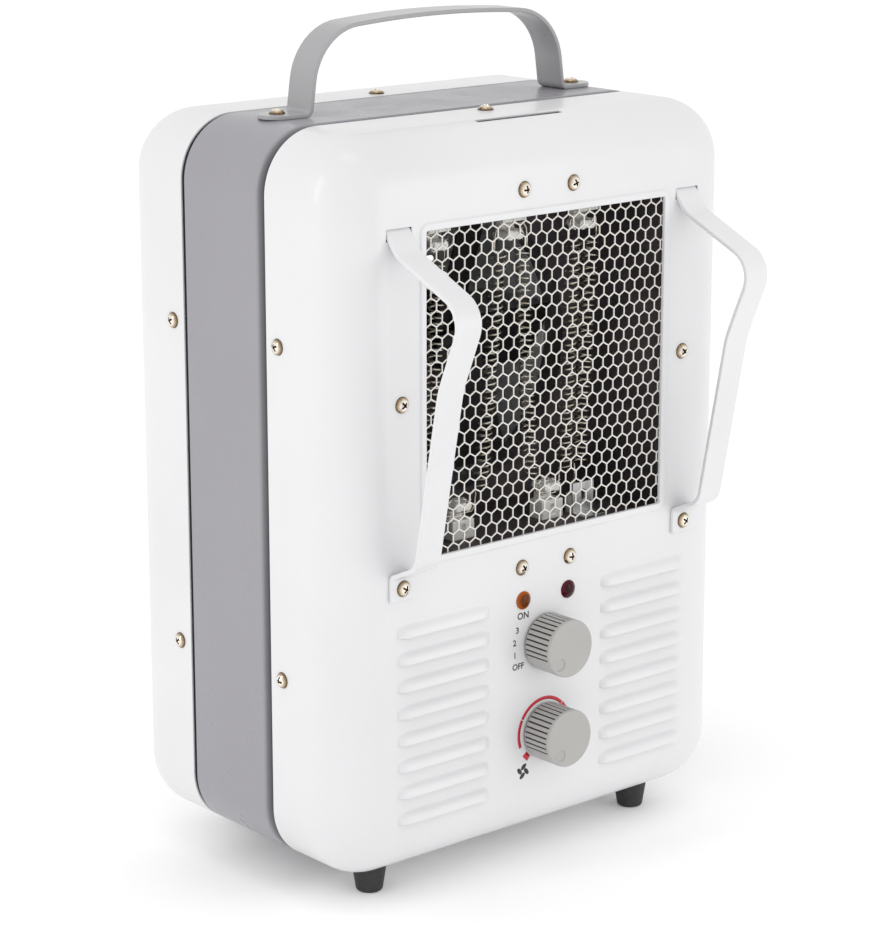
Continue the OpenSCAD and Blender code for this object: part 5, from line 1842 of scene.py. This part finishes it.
@dataclass
class Inside:
    """The solids of the frame that keep their shape and get a finish."""

    plain: dict[str, Finish] = field(default_factory=lambda: {
        "handle_nuts": STEEL, "selector_spindle": STEEL, "selector_cam": BLACK_PLASTIC,
        "selector_switch": BLACK_PLASTIC, "selector_terminals": BRASS, "thermostat_spindle": STEEL,
        "thermostat_frame": STEEL, "thermostat_blades": BRASS, "thermostat_stack": PLAIN_CERAMIC,
        "control_bracket": STEEL, "control_nuts": STEEL, "heat_chamber": SHADED_DUCT_STEEL, "fan_shroud": SHADED_DUCT_STEEL,
        "shroud_screws": STEEL, "insulators": CERAMIC, "insulator_screws": STEEL, "coil_terminals": BRASS,
        "terminal_bushes": CERAMIC, "terminal_shield": STEEL, "thermal_cutout": STEEL, "fan_blade": SHADED_FAN_METAL,
        "motor_shaft": STEEL, "motor_rotor": CORE_STEEL, "motor_stator": CORE_STEEL, "motor_winding": COPPER,
        "motor_bearing_front": STEEL, "motor_bearing_rear": STEEL, "motor_bracket": STEEL,
        "bracket_screws": STEEL, "motor_screws": STEEL, "motor_nuts": STEEL, "terminal_block": PLAIN_CERAMIC,
        "cord_bushing": BLACK_PLASTIC, "tilt_bracket": STEEL, "tilt_pin": STEEL, "tilt_pendulum": STEEL,
        "tilt_switch": BLACK_PLASTIC,
    })
    rounding: dict[str, float] = field(default_factory=lambda: {"insulators": 0.6, "cord_bushing": 0.5})
    edge_round: float = 0.15
    join_mm: float = 0.01

    def build(self) -> None:
        """Give each solid its finish and round its edges."""
        for name, finish in self.plain.items():
            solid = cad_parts[name]
            solid.data.materials.clear()
            solid.data.materials.append(finish.material())
            join = solid.modifiers.new("join", "WELD")
            join.merge_threshold = self.join_mm * MM
            soften(solid, self.rounding.get(name, self.edge_round))
            log.info("%s: %s", name, finish.name)


@dataclass
class Studio:
    """Floor, soft lights and the camera."""

    camera_at: Point = (-0.85838, -0.98678, 0.51277)
    yaw: float = 40.690
    pitch: float = 14.395
    lens: float = 113.337
    clip: tuple[float, float] = (0.05, 50.0)
    floor_size: float = 6.0
    paper: Colour = (0.96, 0.96, 0.96)
    paper_gloss: float = 0.9
    glow: float = 0.1
    backdrop: tuple[float, float] = (0.95, 1.05)
    aim: Point = (0.0, 0.0, 0.18)
    lights: tuple[tuple[str, Point, tuple[float, float], float], ...] = (
        ("left", (-2.0, 0.35, 0.9), (0.3, 1.5), 6),
        ("above", (-0.3, -0.2, 2.2), (0.9, 0.4), 2),
        ("right", (0.5, -0.95, 0.32), (0.5, 0.6), 1.2),
    )

    def floor(self) -> None:
        """Lay the pale floor."""
        mesh = bmesh.new()
        bmesh.ops.create_grid(mesh, x_segments=1, y_segments=1, size=self.floor_size)
        data = bpy.data.meshes.new("floor")
        mesh.to_mesh(data)
        mesh.free()
        floor = bpy.data.objects.new("floor", data)
        bpy.context.scene.collection.objects.link(floor)
        paper = bpy.data.materials.new("floor_paper")
        paper.use_nodes = True
        put(paper.node_tree.nodes["Principled BSDF"], {
            "Base Color": (*self.paper, 1), "Roughness": self.paper_gloss, "Emission Color": (1, 1, 1, 1),
            "Emission Strength": self.glow,
        })
        data.materials.append(paper)

    def light(self, name: str, at: Point, size: tuple[float, float], power: float) -> None:
        """Hang a soft box that looks at the heater.

        Args:
            name: The light's name.
            at: Its place, in metres.
            size: Its width and height.
            power: Its power in watts.
        """
        data = bpy.data.lights.new(name, "AREA")
        data.shape = "RECTANGLE"
        data.size, data.size_y = size
        data.energy = power
        lamp = bpy.data.objects.new(name, data)
        lamp.location = at
        lamp.rotation_euler = (Vector(self.aim) - Vector(at)).to_track_quat("-Z", "Y").to_euler()
        bpy.context.scene.collection.objects.link(lamp)

    def camera(self) -> None:
        """Set up the camera at the photograph's angle."""
        data = bpy.data.cameras.new("camera")
        data.lens = self.lens
        data.clip_start, data.clip_end = self.clip
        camera = bpy.data.objects.new("camera", data)
        camera.location = self.camera_at
        camera.rotation_euler = (math.radians(90 - self.pitch), 0, math.radians(-self.yaw))
        bpy.context.scene.collection.objects.link(camera)
        bpy.context.scene.camera = camera

    def build(self) -> None:
        """Set up the camera, the floor, the lights and the white surroundings."""
        self.camera()
        self.floor()
        world = bpy.data.worlds.new("studio")
        world.use_nodes = True
        tree = world.node_tree
        seen = tree.nodes.new("ShaderNodeLightPath")
        strength = tree.nodes.new("ShaderNodeMapRange")
        put(strength, {"To Min": self.backdrop[0], "To Max": self.backdrop[1]})
        tree.links.new(seen.outputs["Is Camera Ray"], strength.inputs["Value"])
        put(tree.nodes["Background"], {"Color": (1, 1, 1, 1)})
        tree.links.new(strength.outputs["Result"], tree.nodes["Background"].inputs["Strength"])
        bpy.context.scene.world = world
        bpy.context.scene.view_settings.view_transform = "Standard"
        for name, at, size, power in self.lights:
            self.light(name, at, size, power)


def main() -> None:
    """Build every sub-assembly around the frame."""
    Studio().build()
    for part in (Casing(), Straps(), Fasteners(), Grille(), Controls(), Element(), Feet(), Inside()):
        log.info("building %s", type(part).__name__)
        part.build()


if __name__ == "__main__":
    logging.basicConfig(level=logging.INFO, format="%(name)s: %(message)s")
    main()
